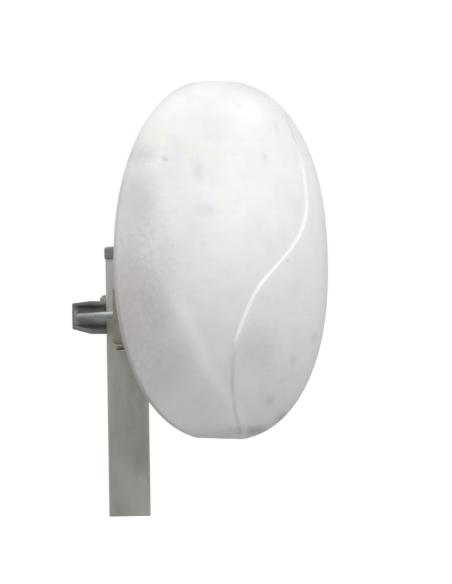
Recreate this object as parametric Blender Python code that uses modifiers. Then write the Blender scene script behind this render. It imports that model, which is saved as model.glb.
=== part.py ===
"""A flat outdoor television antenna, clamped by its arm to a short steel mast.

The mast stands on the origin: the origin lies on the front of its bottom ring.
The antenna faces -Y, +Z is up, and every length is in metres.
"""

import math

import bmesh
import bpy
from mathutils import Matrix, Vector

# Fit between touching solids, how far a cutter runs past what it cuts, and the distance that welds points
GAP = 0.0003
CUT_MARGIN = 0.005
WELD = 0.00001

# Mast
MAST_RADIUS = 0.0225
MAST_WALL = 0.002
MAST_TOP = 0.2918
MAST_SIDES = 48
MAST_AXIS_Y = MAST_RADIUS - MAST_WALL / 2

# Mast cap
CAP_WALL = 0.0008
CAP_CROWN = 0.0022
CAP_SKIRT = 0.0104
CAP_ROUND = 0.003

# Antenna panel, measured from the middle of its rim plane
PANEL_Z = 0.2745
PANEL_REACH = 0.141
RIM_Y = MAST_AXIS_Y - PANEL_REACH
HALF_WIDTH = 0.152
HALF_HEIGHT = 0.191
FULL_HALF_HEIGHT = 0.194
CROWN = 0.0673
LIP = 0.005
SHELL_WALL = 0.003
LEFT_POWER = 2.14
RIGHT_POWER = 2.30
PROFILE_POWER = 2.05
LEFT_DROP = 0.0074
MIDDLE_BLEND = 0.060
FLAT_FLARE = 0.12

# The moulded step that winds down the front, as (x, z) from the panel's middle
STEP_HEIGHT = 0.0025
STEP_WIDTH = 0.005
STEP_EDGE_SHARE = 0.85
STEP_LINE = [
    (0.011, -0.191), (-0.006, -0.175), (-0.020, -0.159), (-0.031, -0.138), (-0.036, -0.110),
    (-0.034, -0.083), (-0.015, -0.042), (0.004, -0.021), (0.037, 0.004), (0.061, 0.024),
    (0.077, 0.046), (0.083, 0.072), (0.082, 0.105), (0.074, 0.143), (0.063, 0.170), (0.045, 0.191),
]

# The soft crease on the left flank, as (x, z), how far it is pressed in, and how deep its rounding cuts
CREASE_LINE = [
    (0.000, -0.191), (-0.027, -0.162), (-0.073, -0.123), (-0.108, -0.069), (-0.125, -0.039),
    (-0.135, 0.000), (-0.126, 0.065), (-0.117, 0.108), (-0.085, 0.150), (-0.036, 0.191),
]
CREASE_SHARE = 0.9
CREASE_ROUND = 0.009
CREASE_FADE_FROM = 0.040
CREASE_FADE_TO = 0.150
CREASE_STEP_GAP = 0.008
CREASE_EDGE_SHARE = 0.97

# Front shell mesh: rows, columns in each field, and how they crowd towards the two ends of the rim
ROWS = 30
FLANK_COLUMNS = 5
TONGUE_COLUMNS = 9
STEP_COLUMNS = 1
RIGHT_COLUMNS = 7
FLANK_CROWDING = 1.6
RIGHT_CROWDING = 1.8
LOOP_START = math.radians(1)

# Back cover: each ring is an inset from the rim outline and a distance behind the rim plane
COVER_INSET = SHELL_WALL + GAP
COVER_FRONT = 0.0015
COVER_BACK = 0.0045
COVER_WALL = 0.0025
COVER_FOOT = (0.017, 0.0050)
COVER_SHOULDER = (0.029, 0.0200)
COVER_CROWN = (0.036, 0.0250)
OUTLINE_ROWS = 24
RIB_WIDTH = 0.0035
RIB_HEIGHT = 0.003
RIB_SINK = 0.0012
UPRIGHT_RIB_X = 0.036
UPRIGHT_RIB_FROM = -0.006
UPRIGHT_RIB_TO = 0.128
CROSS_RIB_HEIGHTS = (0.030, 0.076, 0.122)
CROSS_RIB_END = 0.016

# Screws that hold the back cover
COVER_SCREW_INSET = 0.0105
COVER_SCREW_HEIGHTS = (0.155, 0.062, -0.062, -0.155)
COVER_SCREW_HEAD = 0.0035
COVER_SCREW_HEAD_HEIGHT = 0.0022
COVER_SCREW_SHANK = 0.0017
COVER_SCREW_LENGTH = 0.008

# Mounting arm
CLAMP_Z = 0.2185
ARM_WIDTH = 0.074
ARM_HEIGHT = 0.062
ARM_END = 0.0158
ARM_ROUND = 0.003
FLANGE_WIDTH = 0.098
FLANGE_HEIGHT = 0.086
FLANGE_THICK = 0.005
FLANGE_ROUND = 0.006
ARM_SCREW_X = 0.043
ARM_SCREW_Z = 0.037
ARM_SCREW_HEAD = 0.004
ARM_SCREW_HEAD_HEIGHT = 0.0028
ARM_SCREW_SHANK = 0.002
ARM_SCREW_LENGTH = 0.012

# Clamp: both seats are notches of this included angle
NOTCH_ANGLE = math.radians(120)
NOTCH_APEX = (MAST_RADIUS + GAP) / math.sin(NOTCH_ANGLE / 2)
NOTCH_REACH = 0.018
JAW_WIDTH = 0.076
JAW_TIP = 0.0175
JAW_WEB_IN = 0.0436
JAW_WEB_OUT = 0.0466
JAW_PLATE = 0.003
JAW_WEB_TOP = 0.0150
JAW_WEB_BOTTOM = -0.0130
JAW_TIP_TOP = 0.0167
JAW_TIP_BOTTOM = -0.0192
CLAMP_SCREW_X = 0.032
CLAMP_SCREW_Z = 0.0005
CLAMP_SCREW_SHANK = 0.004
CLAMP_SCREW_HEAD = 0.0055
CLAMP_SCREW_IN_ARM = 0.018
CLAMP_SCREW_KEY = 0.0025
CLAMP_SCREW_KEY_DEPTH = 0.0025

# Earth terminal on top of the jaw
EARTH_Y = 0.0355
EARTH_SHANK = 0.0025
EARTH_HEAD = 0.004
EARTH_HEAD_HEIGHT = 0.002
EARTH_WASHER = 0.005
EARTH_WASHER_HEIGHT = 0.001
EARTH_NUT_FLATS = 0.008
EARTH_NUT_HEIGHT = 0.004
EARTH_STICKS_OUT = 0.0024
EARTH_POINT_SHARE = 0.2

# Aerial socket under the arm
SOCKET_X = -0.0302
SOCKET_Y = -0.0223
SOCKET_RADIUS = 0.00475
SOCKET_BORE = 0.0025
SOCKET_BORE_DEPTH = 0.003
SOCKET_LENGTH = 0.0072
SOCKET_IN_ARM = 0.004
SOCKET_NUT_FLATS = 0.011
SOCKET_NUT_HEIGHT = 0.0025
SOCKET_RING_RADIUS = 0.0058
SOCKET_RING_HEIGHT = 0.0017
SOCKET_RING_LIFT = 0.0006

# Form of the pan heads, as shares of a head's radius and height
PAN_FLAT_SHARE = 0.7
PAN_EDGE_SHARE = 0.45

# Sides of round pieces, and the angle up to which neighbouring faces look smooth
ROUND_SIDES = 24
SCREW_SIDES = 16
HOLE_SIDES = 12
HEX_SIDES = 6
SMOOTH_ANGLE = math.radians(32)


def clear_scene():
    """Remove everything that the file holds at its start."""
    for thing in list(bpy.data.objects):
        bpy.data.objects.remove(thing, do_unlink=True)


def new_collection(name):
    """Make a collection and link it to the scene."""
    collection = bpy.data.collections.new(name)
    bpy.context.scene.collection.children.link(collection)
    return collection


def linear(channel):
    """Turn one sRGB channel, 0 to 1, into a linear value."""
    if channel <= 0.04045:
        return channel / 12.92
    return ((channel + 0.055) / 1.055) ** 2.4


def make_material(name, colour, roughness, metallic=0.0):
    """Make a plain surface from an sRGB colour written as six hex digits."""
    surface = bpy.data.materials.new(name)
    surface.use_nodes = True
    shader = surface.node_tree.nodes["Principled BSDF"]
    channels = [linear(int(colour[i:i + 2], 16) / 255) for i in (0, 2, 4)]
    shader.inputs["Base Color"].default_value = (*channels, 1)
    shader.inputs["Roughness"].default_value = roughness
    shader.inputs["Metallic"].default_value = metallic
    return surface


def add_object(name, mesh, surface, location=(0, 0, 0)):
    """Put a mesh in the part's collection as one named piece."""
    piece = bpy.data.objects.new(name, mesh)
    piece.location = location
    mesh.materials.append(surface)
    PARTS.objects.link(piece)
    return piece


def mesh_of(bm, name):
    """Turn a bmesh into a mesh with smooth round sides and sharp corners."""
    mesh = bpy.data.meshes.new(name)
    bm.to_mesh(mesh)
    bm.free()
    mesh.shade_smooth()
    mesh.set_sharp_from_angle(angle=SMOOTH_ANGLE)
    return mesh


def add_cutter(name, mesh, location=(0, 0, 0)):
    """Put a mesh in the cutters' collection, drawn as wires."""
    cutter = bpy.data.objects.new(name, mesh)
    cutter.location = location
    cutter.display_type = "WIRE"
    cutter.hide_render = True
    CUTTERS.objects.link(cutter)
    return cutter


def combine(piece, other, operation):
    """Cut a piece with another object, or join the two."""
    step = piece.modifiers.new(other.name, "BOOLEAN")
    step.operation = operation
    step.solver = "EXACT"
    step.object = other


def turned(name, profile, closed=False):
    """Make the edges of a profile from (radius, height) points, which turn() spins about Z.

    The profile runs down the outer side, from top to bottom.
    """
    mesh = bpy.data.meshes.new(name)
    edges = [(i, i + 1) for i in range(len(profile) - 1)]
    if closed:
        edges.append((len(profile) - 1, 0))
    mesh.from_pydata([(radius, 0, height) for radius, height in profile], edges, [])
    return mesh


def turn(piece, sides):
    """Spin the piece's profile into a solid of revolution."""
    step = piece.modifiers.new("turned", "SCREW")
    step.axis = "Z"
    step.angle = math.tau
    step.steps = sides
    step.render_steps = sides
    step.use_merge_vertices = True
    step.merge_threshold = WELD
    step.use_smooth_shade = True


def evaluated_mesh(source, name):
    """Copy an object's mesh, with its modifiers and its place worked in."""
    bpy.context.view_layer.update()
    graph = bpy.context.evaluated_depsgraph_get()
    mesh = bpy.data.meshes.new_from_object(source.evaluated_get(graph))
    mesh.transform(source.matrix_world)
    mesh.name = name
    return mesh


def extruded(name, outline, thickness, matrix):
    """Extrude a closed flat outline both ways from its plane, as a welded mesh in place."""
    curve = bpy.data.curves.new(name, "CURVE")
    curve.dimensions = "2D"
    curve.fill_mode = "BOTH"
    curve.extrude = thickness / 2
    spline = curve.splines.new("POLY")
    spline.points.add(len(outline) - 1)
    for point, (across, along) in zip(spline.points, outline):
        point.co = (across, along, 0, 1)
    spline.use_cyclic_u = True
    guide = bpy.data.objects.new(name, curve)
    guide.matrix_world = matrix
    CUTTERS.objects.link(guide)
    mesh = evaluated_mesh(guide, name)
    bpy.data.objects.remove(guide, do_unlink=True)
    bm = bmesh.new()
    bm.from_mesh(mesh)
    bmesh.ops.remove_doubles(bm, verts=bm.verts, dist=WELD)
    bmesh.ops.recalc_face_normals(bm, faces=bm.faces)
    bm.to_mesh(mesh)
    bm.free()
    return mesh


def block(bm, low, high):
    """Add a box between two corners."""
    low = Vector(low)
    high = Vector(high)
    place = Matrix.Translation((low + high) / 2) @ Matrix.Diagonal((*(high - low), 1))
    bmesh.ops.create_cube(bm, size=1, matrix=place)


def rod(bm, radius, start, end, sides=ROUND_SIDES):
    """Add a capped cylinder between two points."""
    start = Vector(start)
    end = Vector(end)
    run = end - start
    place = Matrix.Translation((start + end) / 2) @ run.to_track_quat("Z", "Y").to_matrix().to_4x4()
    bmesh.ops.create_cone(
        bm, cap_ends=True, segments=sides, radius1=radius, radius2=radius, depth=run.length, matrix=place)


def drill_along_y(bm, radius, x, start_y, end_y, z, sides=HOLE_SIDES):
    """Add the drill of a hole that runs along Y."""
    rod(bm, radius, (x, start_y, z), (x, end_y, z), sides)


def ease(share):
    """Rise smoothly from 0 to 1 as a share goes from 0 to 1."""
    share = min(max(share, 0.0), 1.0)
    return share * share * (3 - 2 * share)


def line_at(line, z):
    """Read a smooth line given as (x, z) points, from the lowest point up, at a height."""
    last = len(line) - 1
    z = min(max(z, line[0][1]), line[last][1])
    index = max(i for i in range(last) if line[i][1] <= z)

    def slope(i):
        low, high = max(i - 1, 0), min(i + 1, last)
        return (line[high][0] - line[low][0]) / (line[high][1] - line[low][1])

    (x0, z0), (x1, z1) = line[index], line[index + 1]
    span = z1 - z0
    t = (z - z0) / span
    return (
        (2 * t ** 3 - 3 * t ** 2 + 1) * x0 + (t ** 3 - 2 * t ** 2 + t) * span * slope(index)
        + (3 * t ** 2 - 2 * t ** 3) * x1 + (t ** 3 - t ** 2) * span * slope(index + 1))


def width_share(z, side, inset=0.0):
    """Give the rim's half width at a height, as a share of its widest."""
    power = LEFT_POWER if side < 0 else RIGHT_POWER
    level = z
    if side < 0:
        level += LEFT_DROP * (1 - (z / (HALF_HEIGHT - inset)) ** 2)
    return (1 - abs(level / (FULL_HALF_HEIGHT - inset)) ** power) ** (1 / power)


def half_width(z, side, inset=0.0):
    """Give the rim outline's half width at a height, on the left (-1) or the right (+1)."""
    return (HALF_WIDTH - inset) * width_share(z, side, inset)


def bulge(x, z, inset):
    """Give how far the plain dome stands before the rim plane."""
    side = -1 if x < 0 else 1
    left, right = width_share(z, -1, inset), width_share(z, 1, inset)
    blend = ease((x + MIDDLE_BLEND) / (2 * MIDDLE_BLEND))
    reach = min(abs(x) / half_width(z, side, inset), 1.0)
    crown = (CROWN - inset) * (left + (right - left) * blend)
    return crown * (1 - reach ** PROFILE_POWER) ** (1 / PROFILE_POWER)


def step_x(z, inset=0.0):
    """Give the middle of the moulded step at a height."""
    return min(line_at(STEP_LINE, z), half_width(z, 1, inset) * STEP_EDGE_SHARE)


def crease_x(z, inset=0.0):
    """Give the left flank's crease at a height, kept between the rim and the step."""
    nearest = step_x(z, inset) - STEP_WIDTH / 2 - CREASE_STEP_GAP
    return max(min(line_at(CREASE_LINE, z), nearest), -half_width(z, -1, inset) * CREASE_EDGE_SHARE)


def softer_lower(first, second, blend):
    """Give the lower of two heights, with the corner where they cross rounded off."""
    overlap = max(blend - abs(first - second), 0.0) / max(blend, WELD)
    return min(first, second) - overlap ** 2 * blend / 4


def front_depth(x, z, inset):
    """Give how far the finished front stands before the rim plane."""
    depth = bulge(x, z, inset)
    crease = crease_x(z, inset)
    rim = -half_width(z, -1, inset)
    along = (x - rim) / (crease - rim)
    flank = softer_lower(depth, bulge(crease, z, inset) * along, CREASE_ROUND * min(along, 1.0))
    press = CREASE_SHARE * (1 - ease((z - CREASE_FADE_FROM) / (CREASE_FADE_TO - CREASE_FADE_FROM)))
    depth += (flank - depth) * press
    rise = ease((x - step_x(z, inset)) / STEP_WIDTH + 0.5)
    at_rim = ease((half_width(z, 1, inset) - x) / (3 * STEP_WIDTH))
    return depth + STEP_HEIGHT * rise * at_rim


def column_places(z, inset):
    """Give the x of each mesh column at a height, from rim to rim."""
    crease = crease_x(z, inset)
    step = step_x(z, inset)
    stops = [-half_width(z, -1, inset), crease, step - STEP_WIDTH / 2, step + STEP_WIDTH / 2,
             half_width(z, 1, inset)]
    counts = [FLANK_COLUMNS, TONGUE_COLUMNS, STEP_COLUMNS, RIGHT_COLUMNS]
    places = [stops[0]]
    for number, count in enumerate(counts):
        start, end = stops[number], stops[number + 1]
        for i in range(1, count + 1):
            share = i / count
            if number == 0:
                share = share ** FLANK_CROWDING
            if number == len(counts) - 1:
                share = 1 - (1 - share) ** RIGHT_CROWDING
            places.append(start + (end - start) * share)
    return places


def dome_skin(bm, inset):
    """Add one skin of the front shell, from lip to lip, and give the points of its open edge."""
    columns = FLANK_COLUMNS + TONGUE_COLUMNS + STEP_COLUMNS + RIGHT_COLUMNS
    rows = ROWS + 2
    grid = bmesh.ops.create_grid(bm, x_segments=columns, y_segments=rows, size=1)["verts"]
    top = HALF_HEIGHT - inset
    for vert in grid:
        column = round((vert.co.x + 1) / 2 * columns)
        row = round((vert.co.y + 1) / 2 * rows)
        share = min(max((row - 1) / ROWS, 0), 1)
        z = -top * math.cos(math.pi * share)
        x = column_places(z, inset)[column]
        depth = front_depth(x, z, inset)
        if row in (0, rows):
            depth = 0.0
        z += math.copysign(FLAT_FLARE * depth * (z / top) ** 4, z)
        vert.co = (x, RIM_Y - depth, PANEL_Z + z)
    bmesh.ops.remove_doubles(bm, verts=grid, dist=WELD)
    rim = [edge for edge in bm.edges if edge.is_boundary and not edge.tag]
    lip = bmesh.ops.extrude_edge_only(bm, edges=rim)["geom"]
    points = [item for item in lip if isinstance(item, bmesh.types.BMVert)]
    for vert in points:
        vert.co.y = RIM_Y + LIP
        for edge in vert.link_edges:
            edge.tag = True
    return rim_order(points)


def rim_order(verts):
    """Sort points of the rim round the panel's middle, from just below the left end."""
    start = math.pi + LOOP_START
    return sorted(verts, key=lambda vert: (math.atan2(vert.co.z - PANEL_Z, vert.co.x) - start) % math.tau)


def front_shell(surface):
    """Model the moulded front as an outer and an inner skin joined at the back of the lip."""
    bm = bmesh.new()
    outer = dome_skin(bm, 0.0)
    inner = dome_skin(bm, SHELL_WALL)
    for i in range(len(outer)):
        bm.faces.new((outer[i - 1], outer[i], inner[i], inner[i - 1]))
    bmesh.ops.recalc_face_normals(bm, faces=bm.faces)
    return add_object("front_shell", mesh_of(bm, "front_shell"), surface)


def outline_loop(inset, behind):
    """Give the rim outline, moved in by an inset, as a loop at a distance behind the rim plane."""
    top = HALF_HEIGHT - inset
    levels = [-top * math.cos(math.pi * i / OUTLINE_ROWS) for i in range(OUTLINE_ROWS + 1)]
    right = [(half_width(z, 1, inset), RIM_Y + behind, PANEL_Z + z) for z in levels]
    left = [(-half_width(z, -1, inset), RIM_Y + behind, PANEL_Z + z) for z in reversed(levels)]
    return right + left


def loft(bm, loops):
    """Join loops of equally many points into a closed skin, with a flat face on both ends."""
    rings = [[bm.verts.new(point) for point in loop] for loop in loops]
    for low, high in zip(rings, rings[1:]):
        for i in range(len(low)):
            bm.faces.new((low[i - 1], low[i], high[i], high[i - 1]))
    bm.faces.new(rings[0])
    bm.faces.new(rings[-1])


def back_cover(surface):
    """Model the dished back, with ribs on it and holes for its screws."""
    front_crown = (COVER_CROWN[0] + COVER_WALL / 2, COVER_CROWN[1] - COVER_WALL)
    front_shoulder = (COVER_SHOULDER[0] + COVER_WALL, COVER_SHOULDER[1] - COVER_WALL / 2)
    front_foot = (COVER_FOOT[0] + COVER_WALL, COVER_FRONT)
    rings = [
        front_crown, front_shoulder, front_foot, (COVER_INSET, COVER_FRONT), (COVER_INSET, COVER_BACK),
        COVER_FOOT, COVER_SHOULDER, COVER_CROWN,
    ]
    bm = bmesh.new()
    loft(bm, [outline_loop(*ring) for ring in rings])
    bmesh.ops.recalc_face_normals(bm, faces=bm.faces)
    piece = add_object("back_cover", mesh_of(bm, "back_cover"), surface)
    combine(piece, add_cutter("cover_ribs", cover_ribs()), "UNION")
    combine(piece, add_cutter("cover_holes", cover_holes()), "DIFFERENCE")
    return piece


def cover_ribs():
    """Model the ribs of the back as one lattice: uprights, joined by cross bars."""
    back = RIM_Y + COVER_CROWN[1]
    bars = []
    for side in (-1, 1):
        x = side * UPRIGHT_RIB_X
        bars.append(((x - RIB_WIDTH / 2, UPRIGHT_RIB_FROM), (x + RIB_WIDTH / 2, UPRIGHT_RIB_TO)))
    for height in CROSS_RIB_HEIGHTS:
        left = -half_width(height, -1, COVER_CROWN[0]) + CROSS_RIB_END
        right = half_width(height, 1, COVER_CROWN[0]) - CROSS_RIB_END
        bars.append(((left, height - RIB_WIDTH / 2), (right, height + RIB_WIDTH / 2)))
    whole = None
    for number, (low, high) in enumerate(bars):
        bm = bmesh.new()
        block(bm, (low[0], back - RIB_SINK, PANEL_Z + low[1]), (high[0], back + RIB_HEIGHT, PANEL_Z + high[1]))
        bar = add_cutter("rib_%d" % number, mesh_of(bm, "rib"))
        if whole is None:
            whole = bar
        else:
            combine(whole, bar, "UNION")
    return evaluated_mesh(whole, "cover_ribs")


def cover_screw_places():
    """Give where the cover's screws stand, as (x, z) from the panel's middle."""
    places = []
    for side in (-1, 1):
        for height in COVER_SCREW_HEIGHTS:
            places.append((side * half_width(height, side, COVER_SCREW_INSET), height))
    return places


def cover_holes():
    """Model the drill for the holes of the cover's screws and of the arm's screws."""
    bm = bmesh.new()
    back = RIM_Y + COVER_BACK
    for x, z in cover_screw_places():
        drill_along_y(bm, COVER_SCREW_SHANK + GAP, x, RIM_Y - CUT_MARGIN, back + CUT_MARGIN, PANEL_Z + z)
    crown = RIM_Y + COVER_CROWN[1]
    for x, z in arm_screw_places():
        drill_along_y(bm, ARM_SCREW_SHANK + GAP, x, crown - 2 * CUT_MARGIN, crown + CUT_MARGIN, CLAMP_Z + z)
    return mesh_of(bm, "cover_holes")


def screw(name, surface, place, head, head_height, shank, length):
    """Model a pan-headed screw that goes in along -Y, with its head's seat at a place."""
    profile = [
        (0, head_height), (head * PAN_FLAT_SHARE, head_height), (head, head_height * PAN_EDGE_SHARE), (head, 0),
        (shank, 0), (shank, -length + shank), (0, -length),
    ]
    piece = add_object(name, turned(name, profile), surface, place)
    piece.rotation_euler = (-math.pi / 2, 0, 0)
    turn(piece, SCREW_SIDES)
    return piece


def cover_screws(surface):
    """Set a screw in each hole of the back cover."""
    for number, (x, z) in enumerate(cover_screw_places(), 1):
        seat = (x, RIM_Y + COVER_BACK + 2 * GAP, PANEL_Z + z)
        screw("cover_screw_%d" % number, surface, seat, COVER_SCREW_HEAD, COVER_SCREW_HEAD_HEIGHT,
              COVER_SCREW_SHANK, COVER_SCREW_LENGTH)


def arm_screw_places():
    """Give where the arm's flange screws stand, as (x, z) from the arm's middle."""
    return [(side * ARM_SCREW_X, end * ARM_SCREW_Z) for side in (-1, 1) for end in (1, -1)]


def notch(name, side):
    """Model the cutter of a mast seat: a prism with its apex before (-1) or behind (+1) the mast."""
    apex = side * NOTCH_APEX
    mouth = apex - side * NOTCH_REACH
    spread = NOTCH_REACH * math.tan(NOTCH_ANGLE / 2)
    outline = [(0, apex), (spread, mouth), (-spread, mouth)]
    return extruded(name, outline, 2 * ARM_HEIGHT, Matrix.Translation((0, MAST_AXIS_Y, CLAMP_Z)))


def mount_arm(surface):
    """Model the arm from the back cover to the mast: a flange, a box body, a seat and bores."""
    flange_front = RIM_Y + COVER_CROWN[1] + GAP
    flange_back = flange_front + FLANGE_THICK
    end = MAST_AXIS_Y - ARM_END
    bm = bmesh.new()
    block(bm, (-ARM_WIDTH / 2, flange_front + FLANGE_THICK / 2, CLAMP_Z - ARM_HEIGHT / 2),
          (ARM_WIDTH / 2, end, CLAMP_Z + ARM_HEIGHT / 2))
    long_edges = [edge for edge in bm.edges if abs(edge.verts[0].co.y - edge.verts[1].co.y) > FLANGE_THICK]
    bmesh.ops.bevel(bm, geom=long_edges, offset=ARM_ROUND, segments=3, profile=0.5, affect="EDGES")
    piece = add_object("mount_arm", mesh_of(bm, "mount_arm"), surface)

    bm = bmesh.new()
    block(bm, (-FLANGE_WIDTH / 2, flange_front, CLAMP_Z - FLANGE_HEIGHT / 2),
          (FLANGE_WIDTH / 2, flange_back, CLAMP_Z + FLANGE_HEIGHT / 2))
    corners = [edge for edge in bm.edges if abs(edge.verts[0].co.y - edge.verts[1].co.y) > FLANGE_THICK / 2]
    bmesh.ops.bevel(bm, geom=corners, offset=FLANGE_ROUND, segments=4, profile=0.5, affect="EDGES")
    combine(piece, add_cutter("arm_flange", mesh_of(bm, "arm_flange")), "UNION")
    combine(piece, add_cutter("arm_seat", notch("arm_seat", -1)), "DIFFERENCE")

    bm = bmesh.new()
    for side in (-1, 1):
        drill_along_y(bm, CLAMP_SCREW_SHANK + GAP, side * CLAMP_SCREW_X, end - CLAMP_SCREW_IN_ARM - 2 * GAP,
                      end + CUT_MARGIN, CLAMP_Z + CLAMP_SCREW_Z, ROUND_SIDES)
    for x, z in arm_screw_places():
        drill_along_y(bm, ARM_SCREW_SHANK + GAP, x, flange_front - CUT_MARGIN, flange_back + CUT_MARGIN,
                      CLAMP_Z + z)
    bottom = CLAMP_Z - ARM_HEIGHT / 2
    rod(bm, SOCKET_RADIUS + GAP, (SOCKET_X, MAST_AXIS_Y + SOCKET_Y, bottom - CUT_MARGIN),
        (SOCKET_X, MAST_AXIS_Y + SOCKET_Y, bottom + SOCKET_IN_ARM + GAP))
    combine(piece, add_cutter("arm_bores", mesh_of(bm, "arm_bores")), "DIFFERENCE")
    return piece


def arm_screws(surface):
    """Set a screw in each corner of the arm's flange, through the back cover."""
    seat_y = RIM_Y + COVER_CROWN[1] + FLANGE_THICK + 2 * GAP
    for number, (x, z) in enumerate(arm_screw_places(), 1):
        screw("arm_screw_%d" % number, surface, (x, seat_y, CLAMP_Z + z), ARM_SCREW_HEAD,
              ARM_SCREW_HEAD_HEIGHT, ARM_SCREW_SHANK, ARM_SCREW_LENGTH)


def clamp_jaw(surface):
    """Model the pressed channel that pulls the mast against the arm's seat."""
    section = [
        (JAW_WEB_OUT, JAW_WEB_BOTTOM), (JAW_WEB_OUT, JAW_WEB_TOP), (JAW_TIP, JAW_TIP_TOP),
        (JAW_TIP, JAW_TIP_TOP - JAW_PLATE), (JAW_WEB_IN, JAW_WEB_TOP - JAW_PLATE),
        (JAW_WEB_IN, JAW_WEB_BOTTOM + JAW_PLATE), (JAW_TIP, JAW_TIP_BOTTOM + JAW_PLATE),
        (JAW_TIP, JAW_TIP_BOTTOM),
    ]
    across = Matrix(((0, 0, 1), (1, 0, 0), (0, 1, 0))).to_4x4()
    place = Matrix.Translation((0, MAST_AXIS_Y, CLAMP_Z)) @ across
    piece = add_object("clamp_jaw", extruded("clamp_jaw", section, JAW_WIDTH, place), surface)
    combine(piece, add_cutter("jaw_seat", notch("jaw_seat", 1)), "DIFFERENCE")
    for side, word in ((-1, "left"), (1, "right")):
        name = "jaw_bore_" + word
        cutter = add_cutter(name, turned(name, clamp_screw_profile(GAP, CUT_MARGIN)), clamp_screw_place(side))
        cutter.rotation_euler = (-math.pi / 2, 0, 0)
        turn(cutter, ROUND_SIDES)
        combine(piece, cutter, "DIFFERENCE")
    bm = bmesh.new()
    earth_y = MAST_AXIS_Y + EARTH_Y
    rod(bm, EARTH_SHANK + GAP, (0, earth_y, CLAMP_Z), (0, earth_y, CLAMP_Z + 2 * JAW_TIP_TOP), SCREW_SIDES)
    combine(piece, add_cutter("earth_hole", mesh_of(bm, "earth_hole")), "DIFFERENCE")
    return piece


def clamp_screw_place(side):
    """Give where a clamp screw's flush head ends, on the left (-1) or the right (+1)."""
    return (side * CLAMP_SCREW_X, MAST_AXIS_Y + JAW_WEB_OUT, CLAMP_Z + CLAMP_SCREW_Z)


def clamp_screw_profile(play=0.0, above=0.0):
    """Give a clamp screw's outline. For its bore it gets some play, and runs on above the head."""
    shank = CLAMP_SCREW_SHANK + play
    head = CLAMP_SCREW_HEAD + play
    cone = CLAMP_SCREW_HEAD - CLAMP_SCREW_SHANK
    length = JAW_WEB_OUT + ARM_END + CLAMP_SCREW_IN_ARM
    outer = [(head, above)] if above else []
    return [(0, above)] + outer + [(head, 0), (shank, -cone), (shank, -length), (0, -length)]


def clamp_screws(surface):
    """Set the two screws that draw the jaw to the arm, each with a six-sided key hole."""
    for side, word in ((-1, "left"), (1, "right")):
        name = "clamp_screw_" + word
        place = clamp_screw_place(side)
        piece = add_object(name, turned(name, clamp_screw_profile()), surface, place)
        piece.rotation_euler = (-math.pi / 2, 0, 0)
        turn(piece, ROUND_SIDES)
        bm = bmesh.new()
        x, y, z = place
        drill_along_y(bm, CLAMP_SCREW_KEY, x, y - CLAMP_SCREW_KEY_DEPTH, y + CUT_MARGIN, z, HEX_SIDES)
        combine(piece, add_cutter("key_hole_" + word, mesh_of(bm, "key_hole")), "DIFFERENCE")


def hex_ring(name, surface, place, flats, height, bore):
    """Model a six-sided nut that stands on a place, with a plain bore."""
    bm = bmesh.new()
    x, y, z = place
    rod(bm, flats / 2 / math.cos(math.pi / HEX_SIDES), (x, y, z), (x, y, z + height), HEX_SIDES)
    piece = add_object(name, mesh_of(bm, name), surface)
    bm = bmesh.new()
    rod(bm, bore, (x, y, z - height), (x, y, z + 2 * height), SCREW_SIDES)
    combine(piece, add_cutter(name + "_bore", mesh_of(bm, name + "_bore")), "DIFFERENCE")
    return piece


def earth_terminal(surface, washer_surface):
    """Model the stud through the jaw's top, with its washer and nut."""
    drop = (JAW_TIP_TOP - JAW_WEB_TOP) / (JAW_WEB_OUT - JAW_TIP)
    top = CLAMP_Z + JAW_WEB_TOP + drop * (JAW_WEB_OUT - EARTH_Y + EARTH_WASHER) + GAP
    under = CLAMP_Z + JAW_WEB_TOP + drop * (JAW_WEB_OUT - EARTH_Y - EARTH_HEAD) - JAW_PLATE - 2 * GAP
    y = MAST_AXIS_Y + EARTH_Y
    nut_z = top + EARTH_WASHER_HEIGHT + GAP
    end = nut_z + EARTH_NUT_HEIGHT + EARTH_STICKS_OUT
    point = EARTH_SHANK * EARTH_POINT_SHARE
    stud = [
        (0, end), (EARTH_SHANK - point, end), (EARTH_SHANK, end - point), (EARTH_SHANK, under),
        (EARTH_HEAD, under), (EARTH_HEAD, under - EARTH_HEAD_HEIGHT), (0, under - EARTH_HEAD_HEIGHT),
    ]
    piece = add_object("earth_stud", turned("earth_stud", stud), surface, (0, y, 0))
    turn(piece, SCREW_SIDES)
    bore = EARTH_SHANK + GAP
    ring = [
        (EARTH_WASHER, top + EARTH_WASHER_HEIGHT), (EARTH_WASHER, top), (bore, top),
        (bore, top + EARTH_WASHER_HEIGHT),
    ]
    washer = add_object("earth_washer", turned("earth_washer", ring, closed=True), washer_surface, (0, y, 0))
    turn(washer, ROUND_SIDES)
    hex_ring("earth_nut", surface, (0, y, nut_z), EARTH_NUT_FLATS, EARTH_NUT_HEIGHT, bore)


def mast(surface, cap_surface):
    """Model the mast tube and the cap pushed over its top."""
    inner = MAST_RADIUS - MAST_WALL
    tube = [(MAST_RADIUS, MAST_TOP), (MAST_RADIUS, 0), (inner, 0), (inner, MAST_TOP)]
    place = (0, MAST_AXIS_Y, 0)
    piece = add_object("mast_tube", turned("mast_tube", tube, closed=True), surface, place)
    turn(piece, MAST_SIDES)

    bore = MAST_RADIUS + GAP
    outside = bore + CAP_WALL
    ceiling = MAST_TOP + GAP
    top = ceiling + CAP_CROWN
    skirt = MAST_TOP - CAP_SKIRT
    corner = [
        (outside - CAP_ROUND * (1 - math.sin(turned_by)), top - CAP_ROUND * (1 - math.cos(turned_by)))
        for turned_by in (math.radians(step) for step in (0, 30, 60, 90))
    ]
    cup = [(0, top)] + corner + [(outside, skirt), (bore, skirt), (bore, ceiling), (0, ceiling)]
    cap = add_object("mast_cap", turned("mast_cap", cup), cap_surface, place)
    turn(cap, MAST_SIDES)


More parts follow.
